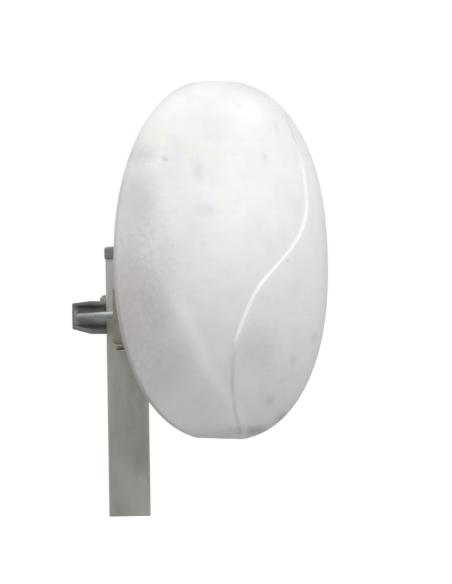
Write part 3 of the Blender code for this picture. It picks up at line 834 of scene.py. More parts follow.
@dataclass(frozen=True)
class BackCover:
    """The dished back, set inside the lip, with a lattice of ribs.

    Its foot, shoulder and crown are points (inset from the rim, depth behind the rim plane).
    """

    form: PanelForm
    finish: bpy.types.Material
    steel: bpy.types.Material
    inset: float = 0.0033
    front: float = 0.0015
    back: float = 0.0045
    wall: float = 0.0025
    foot: Point = (0.017, 0.0050)
    shoulder: Point = (0.029, 0.0200)
    crown: Point = (0.036, 0.0250)
    section_rounds: tuple[float, ...] = (0, 0.001, 0.003, 0.002, 0, 0.0006, 0.005, 0.007, 0.003, 0)
    outline_rows: int = 56
    rib_width: float = 0.0035
    rib_height: float = 0.003
    rib_sink: float = 0.0012
    rib_round: float = 0.0009
    upright_x: float = 0.036
    upright_from: float = -0.006
    upright_to: float = 0.128
    cross_heights: tuple[float, ...] = (0.030, 0.076, 0.122)
    cross_end: float = 0.016
    screw_inset: float = 0.0105
    screw_bore: float = 0.008
    arm_bore: float = 0.020
    screw_heights: tuple[float, ...] = (0.155, 0.062, -0.062, -0.155)

    def outline(self, inset: float, behind: float) -> list[Vector]:
        """Give the rim outline as a loop of points.

        Args:
            inset: How far inside the rim it runs.
            behind: How far behind the rim plane it lies.

        Returns:
            The points, up the right side and down the left.
        """
        form = self.form
        top = form.half_height - inset
        levels = [-top * math.cos(math.pi * i / self.outline_rows) for i in range(self.outline_rows + 1)]
        y = form.rim_y + behind
        right = [Vector((form.edge_x(z, 1, inset), y, form.middle_z + z)) for z in levels]
        left = [Vector((form.edge_x(z, -1, inset), y, form.middle_z + z)) for z in reversed(levels)]
        return right + left

    def section(self) -> list[Point]:
        """Give the cover's section.

        Returns:
            Points (inset, depth behind the rim) from the inner crown round the edge to the outer crown.
        """
        points = [
            (self.crown[0] + self.wall / 2, self.crown[1] - self.wall),
            (self.shoulder[0] + self.wall, self.shoulder[1] - self.wall / 2),
            (self.foot[0] + self.wall, self.front),
            (self.inset, self.front), (self.inset, self.back), self.foot, self.shoulder, self.crown]
        inside = points[0][0] + self.wall, points[0][1]
        outside = self.crown[0] + self.wall, self.crown[1]
        return rounded([inside] + points + [outside], self.section_rounds, segments=5)

    def build(self) -> None:
        """Model the cover as a rolled sheet, closed by its two crowns, then add the ribs and the holes."""
        rings = [self.outline(inset, behind) for inset, behind in self.section()]
        count, rows = len(rings[0]), len(rings) - 1
        cover = Workpiece.sheet("rear_cover_moulding", count, rows)
        for vert in cover.shape.data.vertices:
            column = round((vert.co.x + 1) / 2 * count)
            row = round((vert.co.y + 1) / 2 * rows)
            vert.co = rings[row][column % count]
        with cover.editing("EDGE"):
            bpy.ops.mesh.select_all(action="SELECT")
            bpy.ops.mesh.remove_doubles(threshold=WELD)
            bpy.ops.mesh.select_all(action="DESELECT")
            cover.select_open_edges()
            bpy.ops.mesh.fill_holes(sides=0)
        cover.outward()
        cover.combine(self.ribs(), Cut.JOIN)
        cover.combine(self.drill(), Cut.REMOVE)
        cover.finish("back_cover", Slot.SHELL, self.finish)
        COVER_SCREW.set_in(self.screw_places(), "cover_screw", self.steel)

    def ribs(self) -> Workpiece:
        """Model the ribs as one lattice: two uprights joined by three cross bars.

        Returns:
            The lattice.
        """
        back = self.form.rim_y + self.crown[1]
        half = self.rib_width / 2
        bars = []
        for side in (-1, 1):
            x = side * self.upright_x
            bars.append(((x - half, self.upright_from), (x + half, self.upright_to)))
        for height in self.cross_heights:
            left = self.form.edge_x(height, -1, self.crown[0]) + self.cross_end
            right = self.form.edge_x(height, 1, self.crown[0]) - self.cross_end
            bars.append(((left, height - half), (right, height + half)))
        lattice = None
        z = self.form.middle_z
        for low, high in bars:
            bar = Workpiece.box("rib", (low[0], back - self.rib_sink, z + low[1]),
                                (high[0], back + self.rib_height, z + high[1]))
            top = back + self.rib_height - WELD
            bar.round_edges(lambda a, b: a.y > top and b.y > top, self.rib_round)
            lattice = bar if lattice is None else lattice.combine(bar, Cut.JOIN)
        return lattice

    def screw_places(self) -> list[Vector]:
        """Give the seats of the cover's screws.

        Returns:
            The seats, down the left side and then down the right.
        """
        form = self.form
        y = form.rim_y + self.back + 2 * FIT
        return [Vector((form.edge_x(height, side, self.screw_inset), y, form.middle_z + height))
                for side in (-1, 1) for height in self.screw_heights]

    def drill(self) -> Workpiece:
        """Model the drill of the screw holes, the arm's four among them.

        Returns:
            The drill, as one workpiece.
        """
        rods = [COVER_SCREW.bore(seat, self.screw_bore) for seat in self.screw_places()]
        rods += [ARM_SCREW.bore(seat, self.arm_bore) for seat in arm_screw_seats()]
        return rods[0].join(rods[1:])


@dataclass(frozen=True)
class PanScrew:
    """A pan-headed screw with a cross recess, modelled with its seat at the origin and its head upwards."""

    head: float
    height: float
    shank: float
    length: float
    recess: float
    flat_share: float = 0.7
    edge_share: float = 0.45
    point_share: float = 0.2
    round_shares: tuple[float, ...] = (0.3, 0.4, 0.12, 0, 0, 0)
    recess_depth_share: float = 0.62
    recess_width_share: float = 0.3
    recess_taper: tuple[float, float, float] = (0.45, 0.6, 1)

    def build(self, name: str) -> Workpiece:
        """Model the screw.

        Args:
            name: The piece's name.

        Returns:
            The screw, standing on its seat at the origin.
        """
        head, height, shank = self.head, self.height, self.shank
        points = [(head * self.flat_share, height), (head, height * self.edge_share), (head, 0), (shank, 0),
                  (shank, shank - self.length), (shank * self.point_share, -self.length)]
        profile = rounded(points, [height * share for share in self.round_shares])
        screw = Workpiece.turned(name, profile)
        bottom, half = height - height * self.recess_depth_share, self.recess * self.recess_width_share / 2
        for turn in (0, 1):
            bar = Workpiece.box("recess", (-self.recess, -half, bottom), (self.recess, half, 2 * height))
            with bar.editing("VERT"):
                bar.select_points(lambda co: co.z < height)
                bpy.ops.transform.resize(value=self.recess_taper, center_override=(0, 0, bottom))
            bar.place((0, 0, 0), Axis.UP, turn * math.pi / 2)
            screw.combine(bar, Cut.REMOVE)
        return screw

    def bore(self, seat: Vector, before: float, behind: float = CUT_MARGIN) -> Workpiece:
        """Model the drill of the screw's bore, from some way before its seat to some way behind it."""
        start, end = seat - Vector((0, before, 0)), seat + Vector((0, behind, 0))
        return Workpiece.rod("drill", self.shank + FIT, start, end, sides=16)

    def set_in(self, seats: Sequence[Vector], stem: str, steel: bpy.types.Material) -> None:
        """Set a screw in each seat, its head to the back.

        Args:
            seats: The seats in order.
            stem: What the screws' nodes are called before their numbers.
            steel: Their material.
        """
        pattern = self.build(stem + "_pattern")
        for number, seat in enumerate(seats, 1):
            screw = pattern.copy("%s_%d_pan_head" % (stem, number))
            screw.place(seat, Axis.BACK, SCREW_TURN * number)
            screw.finish("%s_%d" % (stem, number), Slot.STAINLESS, steel)
        bpy.data.objects.remove(pattern.shape, do_unlink=True)


COVER_SCREW = PanScrew(head=0.0035, height=0.0022, shank=0.0017, length=0.008, recess=0.0019)
ARM_SCREW = PanScrew(head=0.004, height=0.0028, shank=0.002, length=0.012, recess=0.0023)
SCREW_TURN = 0.7


def arm_screw_seats() -> list[Vector]:
    """Give the seats of the four screws that hold the arm's flange to the cover.

    Returns:
        The seats, in the order of the screws' numbers.
    """
    seats = []
    for number in range(1, 5):
        low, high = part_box("arm_screw_%d" % number)
        middle = (low + high) / 2
        seats.append(Vector((middle.x, high.y - ARM_SCREW.height, middle.z)))
    return seats


@dataclass(frozen=True)
class MastAxis:
    """The mast's upright axis, the height of the clamp on it, and the seat that grips it."""

    y: float = 0.0215
    clamp_z: float = 0.2185
    radius: float = 0.0225
    wall: float = 0.002
    seat_angle: float = math.radians(120)
    seat_reach: float = 0.018
    seat_half: float = 0.1

    def seat_cutter(self, side: int) -> Workpiece:
        """Model the prism that cuts a mast seat.

        Args:
            side: Which side of the mast its apex is on: -1 before it, +1 behind it.

        Returns:
            The cutter.
        """
        apex = side * (self.radius + FIT) / math.sin(self.seat_angle / 2)
        mouth = apex - side * self.seat_reach
        spread = self.seat_reach * math.tan(self.seat_angle / 2)
        outline = [(0, apex), (spread, mouth), (-spread, mouth)]
        prism = Workpiece.plate("mast_seat", outline, -self.seat_half, self.seat_half)
        return prism.place((0, self.y, self.clamp_z))


@dataclass(frozen=True)
class MountArm:
    """The arm from the back cover to the mast: a flange, a hollowed box body and a seat for the mast."""

    mast: MastAxis
    finish: bpy.types.Material
    steel: bpy.types.Material
    width: float = 0.074
    height: float = 0.062
    body_round: float = 0.003
    flange_width: float = 0.098
    flange_height: float = 0.086
    flange_thick: float = 0.005
    flange_round: float = 0.006
    fillet: float = 0.0025
    edge_round: float = 0.0005
    bore_x: float = 0.032
    bore_z: float = 0.0005
    bore_depth: float = 0.0186
    bore_radius: float = 0.0043
    screw_bore: float = 0.012
    pocket_rib: float = 0.003
    pocket_wall: float = 0.004
    pocket_deep: float = 0.022
    pocket_length: float = 0.0335
    pocket_round: float = 0.0025

    def build(self) -> None:
        """Model the arm, its bores and its underside's pockets, and set its flange screws."""
        low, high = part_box("mount_arm")
        front, end = low.y, high.y
        z = self.mast.clamp_z
        half, tall = self.width / 2, self.height / 2
        flange_half, flange_tall = self.flange_width / 2, self.flange_height / 2
        flange_back = front + self.flange_thick
        body = Workpiece.box("mount_arm_moulding", (-half, front + self.flange_thick / 2, z - tall),
                             (half, end, z + tall))
        body.round_edges(lambda a, b: abs(a.y - b.y) > self.flange_thick, self.body_round, segments=5)
        flange = Workpiece.box("flange", (-flange_half, front, z - flange_tall),
                               (flange_half, flange_back, z + flange_tall))
        flange.round_edges(
            lambda a, b: abs(a.y - b.y) > self.flange_thick / 2, self.flange_round, segments=8)
        body.combine(flange, Cut.JOIN)
        inner = flange_tall - self.flange_round
        body.round_edges(
            lambda a, b: max(abs(a.y - flange_back), abs(b.y - flange_back)) < WELD
            and max(abs(a.x), abs(b.x)) < half + WELD and max(abs(a.z - z), abs(b.z - z)) < inner,
            self.fillet, segments=4)
        body.combine(self.mast.seat_cutter(-1), Cut.REMOVE)
        for side in (-1, 1):
            mouth = Vector((side * self.bore_x, end + CUT_MARGIN, z + self.bore_z))
            bottom = Vector((mouth.x, end - self.bore_depth, mouth.z))
            body.combine(Workpiece.rod("bore", self.bore_radius, bottom, mouth), Cut.REMOVE)
        for seat in arm_screw_seats():
            body.combine(ARM_SCREW.bore(seat, self.screw_bore, self.screw_bore), Cut.REMOVE)
        for pocket in self.pockets(front, z - tall):
            body.combine(pocket, Cut.REMOVE)
        body.combine(self.socket_bore(), Cut.REMOVE)
        body.soften(self.edge_round, angle=40)
        body.finish("mount_arm", Slot.ARM, self.finish)
        ARM_SCREW.set_in(arm_screw_seats(), "arm_screw", self.steel)

    def pockets(self, front: float, bottom: float) -> list[Workpiece]:
        """Model the cutters of the pockets that hollow the underside between its ribs.

        Args:
            front: The y of the flange's front.
            bottom: The z of the arm's underside.

        Returns:
            One cutter for each pocket.
        """
        rib, wall, deep, length = self.pocket_rib, self.pocket_wall, self.pocket_deep, self.pocket_length
        start = front + self.flange_thick + wall
        wide = (self.width - 2 * wall - rib) / 2
        cutters = []
        for row in (0, 1):
            for side in (-1, 1):
                y = start + row * (length + rib)
                inner, outer = side * rib / 2, side * (rib / 2 + wide)
                pocket = Workpiece.box("pocket", (min(inner, outer), y, bottom - CUT_MARGIN),
                                       (max(inner, outer), y + length, bottom + deep))
                pocket.round_edges(lambda a, b: abs(a.z - b.z) > deep, self.pocket_round, segments=4)
                cutters.append(pocket)
        return cutters

    def socket_bore(self) -> Workpiece:
        """Model the drill of the bore that holds the aerial socket's barrel."""
        foot, size = foot_and_size(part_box("socket_barrel"))
        return Workpiece.rod("bore", size.x / 2 + FIT, foot, foot + Vector((0, 0, size.z + FIT)))


@dataclass(frozen=True)
class HexNut:
    """A six-sided nut that stands on the origin, its corners cut off above and below."""

    flats: float
    height: float
    bore: float
    face_share: float = 0.98
    drum_share: float = 1.01
    slope_share: float = 0.6
    edge_share: float = 0.04

    def build(self, name: str) -> Workpiece:
        """Model the nut from a six-sided rod, a drum that cuts its corners off, and its bore.

        Args:
            name: The piece's name.

        Returns:
            The nut.
        """
        height, half = self.height, self.flats / 2
        corner = half / math.cos(math.pi / 6)
        nut = Workpiece.rod(name, corner, (0, 0, 0), (0, 0, height), sides=6)
        face, wide = half * self.face_share, corner * self.drum_share
        slope = (corner - half) * self.slope_share
        drum = [(face, height), (wide, height - slope), (wide, slope), (face, 0)]
        nut.combine(Workpiece.turned("chamfer", drum, sides=48), Cut.KEEP_COMMON)
        nut.combine(Workpiece.rod("bore", self.bore, (0, 0, -height), (0, 0, 2 * height)), Cut.REMOVE)
        return nut.soften(height * self.edge_share, segments=1, angle=25)


@dataclass(frozen=True)
class Thread:
    """A screw thread, drawn as rings, with the shares of its pitch at which each ring's parts lie."""

    radius: float
    pitch: float
    groove: float
    crest_share: float = 0.15
    root_shares: Point = (0.5, 0.65)

    def profile(self, top: float, bottom: float) -> list[Point]:
        """Give the thread's profile.

        Args:
            top: Where it starts.
            bottom: Where it ends.

        Returns:
            Points (radius, height) from top to bottom.
        """
        root = self.radius - self.groove
        root_from, root_to = self.root_shares
        points = []
        for i in range(int((top - bottom) / self.pitch)):
            z = top - i * self.pitch
            points += [(self.radius, z), (self.radius, z - self.pitch * self.crest_share),
                       (root, z - self.pitch * root_from), (root, z - self.pitch * root_to)]
        return points + [(self.radius, bottom)]


def open_ring(name: str, outer: float, inner: float, tall: float, rounds: Sequence[float],
              sides: int = 40, segments: int = 2) -> Workpiece:
    """Turn a ring with an open bore, standing on the origin.

    Args:
        name: The piece's name.
        outer: Its outer radius.
        inner: Its bore's radius.
        tall: Its height.
        rounds: How far its corners are rounded, from the outer top down and round to the inner top.
        sides: How many sides it has.
        segments: How many pieces each rounded corner has.

    Returns:
        The ring.
    """
    corners = [(outer, tall), (outer, 0), (inner, 0), (inner, tall)]
    return Workpiece.turned(name, rounded(corners, rounds, segments), sides, closed=True)


@dataclass(frozen=True)
class EarthTerminal:
    """The earth stud on the jaw, with its washer and its nut."""

    zinc: bpy.types.Material
    steel: bpy.types.Material
    bore: float = 0.0028
    shank: float = 0.0025
    tip_share: float = 0.8
    lead_share: float = 0.2
    head_height: float = 0.002
    head_shape: tuple[Point, ...] = ((0.9, 1), (1, 0.7), (0.85, 0.15), (0.4, 0))
    plain: float = 0.004
    pitch: float = 0.0008
    groove: float = 0.0004
    washer_round: float = 0.0002

    def drill(self, start: float) -> Workpiece:
        """Model the drill of the stud's hole, from a height up to the stud's top."""
        foot, size = foot_and_size(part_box("earth_stud"))
        return Workpiece.rod("bore", self.bore, (foot.x, foot.y, start), (foot.x, foot.y, foot.z + size.z))

    def build(self) -> None:
        """Model the stud, the washer and the nut."""
        foot, size = foot_and_size(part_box("earth_stud"))
        head, tall, shank, rise = size.x / 2, size.z, self.shank, self.head_height
        thread = Thread(shank, self.pitch, self.groove)
        points = [(shank * self.tip_share, tall)]
        points += thread.profile(tall - shank * self.lead_share, rise + self.plain)
        points += [(shank, rise)] + [(head * across, rise * up) for across, up in self.head_shape]
        stud = Workpiece.turned("earth_stud_threaded", points)
        stud.place(foot).finish("earth_stud", Slot.STAINLESS, self.steel)

        foot, size = foot_and_size(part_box("earth_washer"))
        washer = open_ring("earth_washer_flat", size.x / 2, self.bore, size.z, (self.washer_round,) * 4)
        washer.place(foot).finish("earth_washer", Slot.ZINC, self.zinc)

        foot, size = foot_and_size(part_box("earth_nut"))
        nut = HexNut(min(size.x, size.y), size.z, self.bore).build("earth_nut_hexagon")
        nut.place(foot).finish("earth_nut", Slot.STAINLESS, self.steel)


@dataclass(frozen=True)
class Clamp:
    """The pressed jaw, the two screws that draw it to the arm, and the earth terminal on it.

    The jaw's levels of light and tone leave its plating plain outside, lighten its inside with painted
    light over the channel's shade, and darken its end faces.
    """

    mast: MastAxis
    zinc: bpy.types.Material
    steel: bpy.types.Material
    width: float = 0.076
    tip: float = 0.0175
    web_in: float = 0.0436
    web_out: float = 0.0466
    plate: float = 0.003
    web_top: float = 0.0150
    web_bottom: float = -0.0130
    tip_top: float = 0.0167
    tip_bottom: float = -0.0192
    bend_round: float = 0.0018
    inner_round: float = 0.0006
    edge_round: float = 0.0004
    screw_x: float = 0.032
    screw_z: float = 0.0005
    screw_shank: float = 0.004
    screw_head: float = 0.0055
    key: float = 0.0025
    key_depth: float = 0.0025
    bore_depth: float = 0.03
    # Painted light inside the channel, and a darker tone on the end faces.
    inside_light: float = 1.0
    end_darkening: float = -0.8

    def build(self) -> None:
        """Model the jaw, then set its screws and its earth terminal."""
        terminal = EarthTerminal(self.zinc, self.steel)
        self.build_jaw(terminal)
        self.build_screws()
        terminal.build()

    def screw_seat(self, side: int) -> Vector:
        """Give where a clamp screw's flush head ends, on the left (-1) or the right (+1)."""
        return Vector((side * self.screw_x, self.mast.y + self.web_out, self.mast.clamp_z + self.screw_z))

    def screw_profile(self, length: float, play: float = 0.0, above: float = 0.0) -> list[Point]:
        """Give a clamp screw's outline, or its bore's.

        Args:
            length: How long the screw is.
            play: How much wider the bore is all round.
            above: How far the bore's cutter runs above the head, or 0 for the screw itself.

        Returns:
            Points (radius, height) from the head's top down.
        """
        shank, head = self.screw_shank + play, self.screw_head + play
        cone = [(head, -FIT), (shank, self.screw_shank - self.screw_head)]
        if above:
            return [(head, above)] + cone + [(shank, -length)]
        return [(head - FIT, 0)] + cone + [(shank, FIT - length), (shank - FIT, -length)]

    def build_jaw(self, terminal: EarthTerminal) -> None:
        """Model the jaw from its section, with rounded bends, a seat, holes, and painted light and tone
        levels.

        Args:
            terminal: The earth terminal that stands in the jaw's upper flange.
        """
        section = [
            (self.web_out, self.web_bottom), (self.web_out, self.web_top), (self.tip, self.tip_top),
            (self.tip, self.tip_top - self.plate), (self.web_in, self.web_top - self.plate),
            (self.web_in, self.web_bottom + self.plate), (self.tip, self.tip_bottom + self.plate),
            (self.tip, self.tip_bottom)]
        inner = self.inner_round
        rounds = (self.bend_round, self.bend_round, 0, 0, inner, inner, 0, 0)
        outline = rounded(section, rounds, segments=6)
        jaw = Workpiece.plate("clamp_jaw_pressing", outline, -self.width / 2, self.width / 2)
        across = Matrix(((0, 0, 1), (1, 0, 0), (0, 1, 0))).to_4x4()
        jaw.turn_to(Matrix.Translation((0, self.mast.y, self.mast.clamp_z)) @ across)
        jaw.combine(self.mast.seat_cutter(1), Cut.REMOVE)
        for side in (-1, 1):
            profile = self.screw_profile(self.bore_depth, FIT, CUT_MARGIN)
            bore = Workpiece.turned("bore", profile, sides=48)
            jaw.combine(bore.place(self.screw_seat(side), Axis.BACK), Cut.REMOVE)
        jaw.combine(terminal.drill(self.mast.clamp_z), Cut.REMOVE)
        jaw.soften(self.edge_round, angle=40)
        # Painted light inside the channel, and a darker tone on the end faces.
        light_and_tone = jaw.shape.data.attributes.new(LIGHT_AND_TONE_LEVEL, "FLOAT", "POINT")
        for vert in jaw.shape.data.vertices:
            behind, up = vert.co.y - self.mast.y, abs(vert.co.z - self.mast.clamp_z)
            inside = behind < self.web_in + WELD and up < self.tip_top - self.plate + WELD
            at_end = abs(vert.co.x) > self.width / 2 - self.edge_round - WELD
            light_and_tone.data[vert.index].value = self.end_darkening if at_end else self.inside_light if inside else 0.0
        jaw.finish("clamp_jaw", Slot.ZINC, self.zinc)

    def build_screws(self) -> None:
        """Model the two countersunk screws, each with a six-sided key hole."""
        for side, word in ((-1, "left"), (1, "right")):
            node = "clamp_screw_" + word
            low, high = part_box(node)
            profile = self.screw_profile(high.y - low.y)
            screw = Workpiece.turned(node + "_socket_head", profile, sides=48)
            corner = self.key / math.cos(math.pi / 6)
            key_hole = Workpiece.rod("key_hole", corner, (0, 0, -self.key_depth), (0, 0, CUT_MARGIN), sides=6)
            screw.combine(key_hole, Cut.REMOVE)
            screw.place(self.screw_seat(side), Axis.BACK, SCREW_TURN * side)
            screw.finish(node, Slot.ZINC, self.zinc)


@dataclass(frozen=True)
class Mast:
    """The painted steel tube and the cap pushed over its top."""

    axis: MastAxis
    paint: bpy.types.Material
    plastic: bpy.types.Material
    sides: int = 96
    edge_round: float = 0.0004
    cap_rounds: tuple[float, ...] = (0, 0.003, 0.0003, 0.0002, 0.0003, 0)
    cap_middle_share: float = 0.3

    def build(self) -> None:
        """Model the tube and its cap."""
        low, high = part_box("mast_tube")
        radius, tall = (high.x - low.x) / 2, high.z - low.z
        tube = open_ring("mast_tube_painted", radius, radius - self.axis.wall, tall, (self.edge_round,) * 4,
                         self.sides)
        tube.place((0, self.axis.y, low.z))
        tube.finish("mast_tube", Slot.MAST, self.paint)

        low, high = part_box("mast_cap")
        outside = (high.x - low.x) / 2
        bore = radius + FIT
        top, skirt = high.z, low.z
        ceiling = tall + FIT
        points = [(outside * self.cap_middle_share, top), (outside, top), (outside, skirt), (bore, skirt),
                  (bore, ceiling), (bore * self.cap_middle_share, ceiling)]
        cap = Workpiece.turned("mast_cap_moulding", rounded(points, self.cap_rounds, segments=5), self.sides)
        cap.place((0, self.axis.y, 0))
        cap.finish("mast_cap", Slot.CAP, self.plastic)


@dataclass(frozen=True)
class AerialSocket:
    """The coaxial socket under the arm: a threaded barrel, its nut and a sealing ring."""

    nickel: bpy.types.Material
    rubber: bpy.types.Material
    bore: float = 0.0025
    bore_depth: float = 0.003
    pin: float = 0.0008
    pitch: float = 0.0008
    groove: float = 0.0003
    plain: float = 0.004
    lead: float = 0.0004
    lead_height: float = 0.0006
    top_share: float = 0.5
    seal_rounds: tuple[float, ...] = (0.0007, 0.0007, 0.0002, 0.0002)

    def build(self) -> None:
        """Model the socket's three pieces."""
        foot, size = foot_and_size(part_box("socket_barrel"))
        radius, tall = size.x / 2, size.z
        points = [(radius * self.top_share, tall), (radius, tall)]
        points += Thread(radius, self.pitch, self.groove).profile(tall - self.plain, self.lead_height)
        points += [(radius - self.lead, 0), (self.bore, 0), (self.bore, self.bore_depth),
                   (self.pin, self.bore_depth)]
        barrel = Workpiece.turned("socket_barrel_threaded", points, sides=40)
        barrel.place(foot).finish("socket_barrel", Slot.NICKEL, self.nickel)

        foot, size = foot_and_size(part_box("socket_nut"))
        nut = HexNut(min(size.x, size.y), size.z, radius + FIT).build("socket_nut_hexagon")
        nut.place(foot).finish("socket_nut", Slot.NICKEL, self.nickel)

        foot, size = foot_and_size(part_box("socket_ring"))
        ring = open_ring("socket_ring_seal", size.x / 2, radius + FIT, size.z, self.seal_rounds, segments=4)
        ring.place(foot).finish("socket_ring", Slot.RUBBER, self.rubber)


def linear(hex_colour: str) -> tuple[float, float, float, float]:
    """Turn an sRGB colour of six hex digits into linear light, with full opacity."""
    channels = [int(hex_colour[i:i + 2], 16) / 255 for i in (0, 2, 4)]
    return (*(c / 12.92 if c <= 0.04045 else ((c + 0.055) / 1.055) ** 2.4 for c in channels), 1.0)


def add_node(tree: bpy.types.NodeTree, kind: str, inputs: dict | None = None,
             **settings: object) -> bpy.types.Node:
    """Add a node.

    Args:
        tree: The node tree that it goes into.
        kind: The node's type.
        inputs: A value or another node's output socket for each input, by name or number.
        settings: The node's own settings.

    Returns:
        The node.
    """
    node = tree.nodes.new(kind)
    for name, value in settings.items():
        setattr(node, name, value)
    for name, value in (inputs or {}).items():
        if isinstance(value, bpy.types.NodeSocket):
            tree.links.new(value, node.inputs[name])
        else:
            node.inputs[name].default_value = value
    return node


@dataclass(frozen=True)
class Patches:
    """A second tint that lies over a finish in soft, random patches.

    The size is how wide one patch is in millimetres, and the stretch makes it longer along an axis.
    """

    colour: str
    share: float
    size: float
    stretch: tuple[float, float, float] = (1.0, 1.0, 1.0)
    from_level: float = 0.42
    to_level: float = 0.66
    detail: float = 3.0


@dataclass(frozen=True)
class Mark:
    """A soft spot of another tint, placed as seen from the front, in millimetres from the panel's middle.

    It lies at the same place at every depth of the piece.
    """

    colour: str
    share: float
    x: float
    z: float
    width: float
    height: float


@dataclass(frozen=True)
class Relief:
    """A fine unevenness: how wide and how deep its bumps are, in millimetres."""

    size: float
    depth: float
    stretch: tuple[float, float, float] = (1.0, 1.0, 1.0)


@dataclass(frozen=True)
class Finish:
    """A surface: its material's name, its shader values, and the patches, marks and relief laid over it.

    Its two light and tone tints lie over it where a piece's own level is above and below 0. They paint light
    and shade on the radome's step, rim and crease and inside the jaw, and a darker tone on the jaw's end
    faces.
    """

    name: str
    colour: str
    roughness: float
    metallic: float = 0.0
    ior: float = 1.5
    patches: tuple[Patches, ...] = ()
    marks: tuple[Mark, ...] = ()
    reliefs: tuple[Relief, ...] = ()
    mark_edge: float = 5.0
    mark_fall: Point = (0.5, 1.6)
    roughness_swing: float = 0.08
    roughness_patch: float = 14.0
    roughness_levels: Point = (0.3, 0.7)
    light_and_tone: tuple[str, ...] = ()
    glow: float = 0.0

    def make(self) -> bpy.types.Material:
        """Make the material: its plain values, then its tints, its roughness and its relief.

        Returns:
            The material.
        """
        material = bpy.data.materials.new(self.name)
        material.use_nodes = True
        tree = material.node_tree
        shader = tree.nodes["Principled BSDF"]
        shader.inputs["Metallic"].default_value = self.metallic
        if self.metallic == 0:
            shader.inputs["IOR"].default_value = self.ior
        if self.glow > 0:
            shader.inputs["Emission Color"].default_value = linear("ffffff")
            shader.inputs["Emission Strength"].default_value = self.glow
        place = add_node(tree, "ShaderNodeTexCoord").outputs["Object"]
        tree.links.new(self.tint(tree, place), shader.inputs["Base Color"])
        self.vary_roughness(tree, shader, place)
        self.raise_relief(tree, shader, place)
        return material

    @staticmethod
    def cloud(tree: bpy.types.NodeTree, place: bpy.types.NodeSocket, size: float,
              stretch: Sequence[float] = (1.0, 1.0, 1.0), detail: float = 3.0) -> bpy.types.NodeSocket:
        """Spread random levels from 0 to 1 through space.

        Args:
            tree: The material's node tree.
            place: Object coordinates, in metres.
            size: How wide one cloud is, in millimetres.
            stretch: How much longer it is along each axis.
            detail: How many finer layers it has.

        Returns:
            The level.
        """
        scale = [1 / (size * MILLIMETRE * factor) for factor in stretch]
        spread = add_node(tree, "ShaderNodeMapping", {"Vector": place, "Scale": scale})
        return add_node(tree, "ShaderNodeTexNoise", {
            "Vector": spread.outputs[0], "Scale": 1.0, "Detail": detail, "Roughness": 0.55}).outputs[0]

    @staticmethod
    def overlay(tree: bpy.types.NodeTree, under: bpy.types.NodeSocket, colour: str,
                level: bpy.types.NodeSocket) -> bpy.types.NodeSocket:
        """Lay a colour over another by a level.

        Args:
            tree: The material's node tree.
            under: The colour below.
            colour: The colour laid over it.
            level: How much of it shows.

        Returns:
            The mixed colour.
        """
        mix = add_node(tree, "ShaderNodeMix", {0: level, 6: under, 7: linear(colour)}, data_type="RGBA")
        return mix.outputs[2]

    def tint(self, tree: bpy.types.NodeTree, place: bpy.types.NodeSocket) -> bpy.types.NodeSocket:
        """Lay the patches, the marks, and the painted light and tone tints over the base colour.

        Args:
            tree: The material's node tree.
            place: Object coordinates, in metres.

        Returns:
            The finished colour.
        """
        base = add_node(tree, "ShaderNodeRGB")
        base.outputs[0].default_value = linear(self.colour)
        colour = base.outputs[0]
        for patch in self.patches:
            level = add_node(tree, "ShaderNodeMapRange", {
                "Value": self.cloud(tree, place, patch.size, patch.stretch, patch.detail),
                "From Min": patch.from_level, "From Max": patch.to_level, "To Max": patch.share},
                interpolation_type="SMOOTHSTEP")
            colour = self.overlay(tree, colour, patch.colour, level.outputs[0])
        ragged = self.cloud(tree, place, self.mark_edge, detail=4.0) if self.marks else None
        for mark in self.marks:
            colour = self.overlay(tree, colour, mark.colour, self.mark_level(tree, place, ragged, mark))
        # Painted light and shade, and darker tones, by each piece's own level.
        if self.light_and_tone:
            level_of_light_and_tone = add_node(tree, "ShaderNodeAttribute", attribute_name=LIGHT_AND_TONE_LEVEL).outputs["Fac"]
            for tint_colour, full in zip(self.light_and_tone, (1.0, -1.0)):
                level = add_node(tree, "ShaderNodeMapRange", {
                    "Value": level_of_light_and_tone, "From Min": 0.0, "From Max": full})
                colour = self.overlay(tree, colour, tint_colour, level.outputs[0])
        return colour

    def mark_level(self, tree: bpy.types.NodeTree, place: bpy.types.NodeSocket, ragged: bpy.types.NodeSocket,
                   mark: Mark) -> bpy.types.NodeSocket:
        """Give how much of a mark shows at a point: most in its middle, with a ragged edge.

        Args:
            tree: The material's node tree.
            place: Object coordinates, in metres.
            ragged: The random level that frays its edge.
            mark: The mark.

        Returns:
            The level.
        """
        across, along = mark.width * MILLIMETRE / 2, mark.height * MILLIMETRE / 2
        x, z = mark.x * MILLIMETRE, PANEL_MIDDLE_Z + mark.z * MILLIMETRE
        spot = add_node(tree, "ShaderNodeMapping", {
            "Vector": place, "Scale": (1 / across, 0.0, 1 / along),
            "Location": (-x / across, 0.0, -z / along)})
        away = add_node(tree, "ShaderNodeVectorMath", {0: spot.outputs[0]}, operation="LENGTH")
        frayed = add_node(tree, "ShaderNodeMath", {0: ragged, 1: away.outputs["Value"]}, operation="ADD")
        fall_from, fall_to = self.mark_fall
        return add_node(tree, "ShaderNodeMapRange", {
            "Value": frayed.outputs[0], "From Min": fall_from, "From Max": fall_to, "To Min": mark.share,
            "To Max": 0.0}, interpolation_type="SMOOTHSTEP").outputs[0]

    def vary_roughness(self, tree: bpy.types.NodeTree, shader: bpy.types.Node,
                       place: bpy.types.NodeSocket) -> None:
        """Let the roughness swing a little from patch to patch.

        Args:
            tree: The material's node tree.
            shader: Its Principled BSDF.
            place: Object coordinates, in metres.
        """
        low, high = self.roughness_levels
        swing = add_node(tree, "ShaderNodeMapRange", {
            "Value": self.cloud(tree, place, self.roughness_patch, detail=4.0),
            "From Min": low, "From Max": high,
            "To Min": self.roughness - self.roughness_swing, "To Max": self.roughness + self.roughness_swing})
        tree.links.new(swing.outputs[0], shader.inputs["Roughness"])

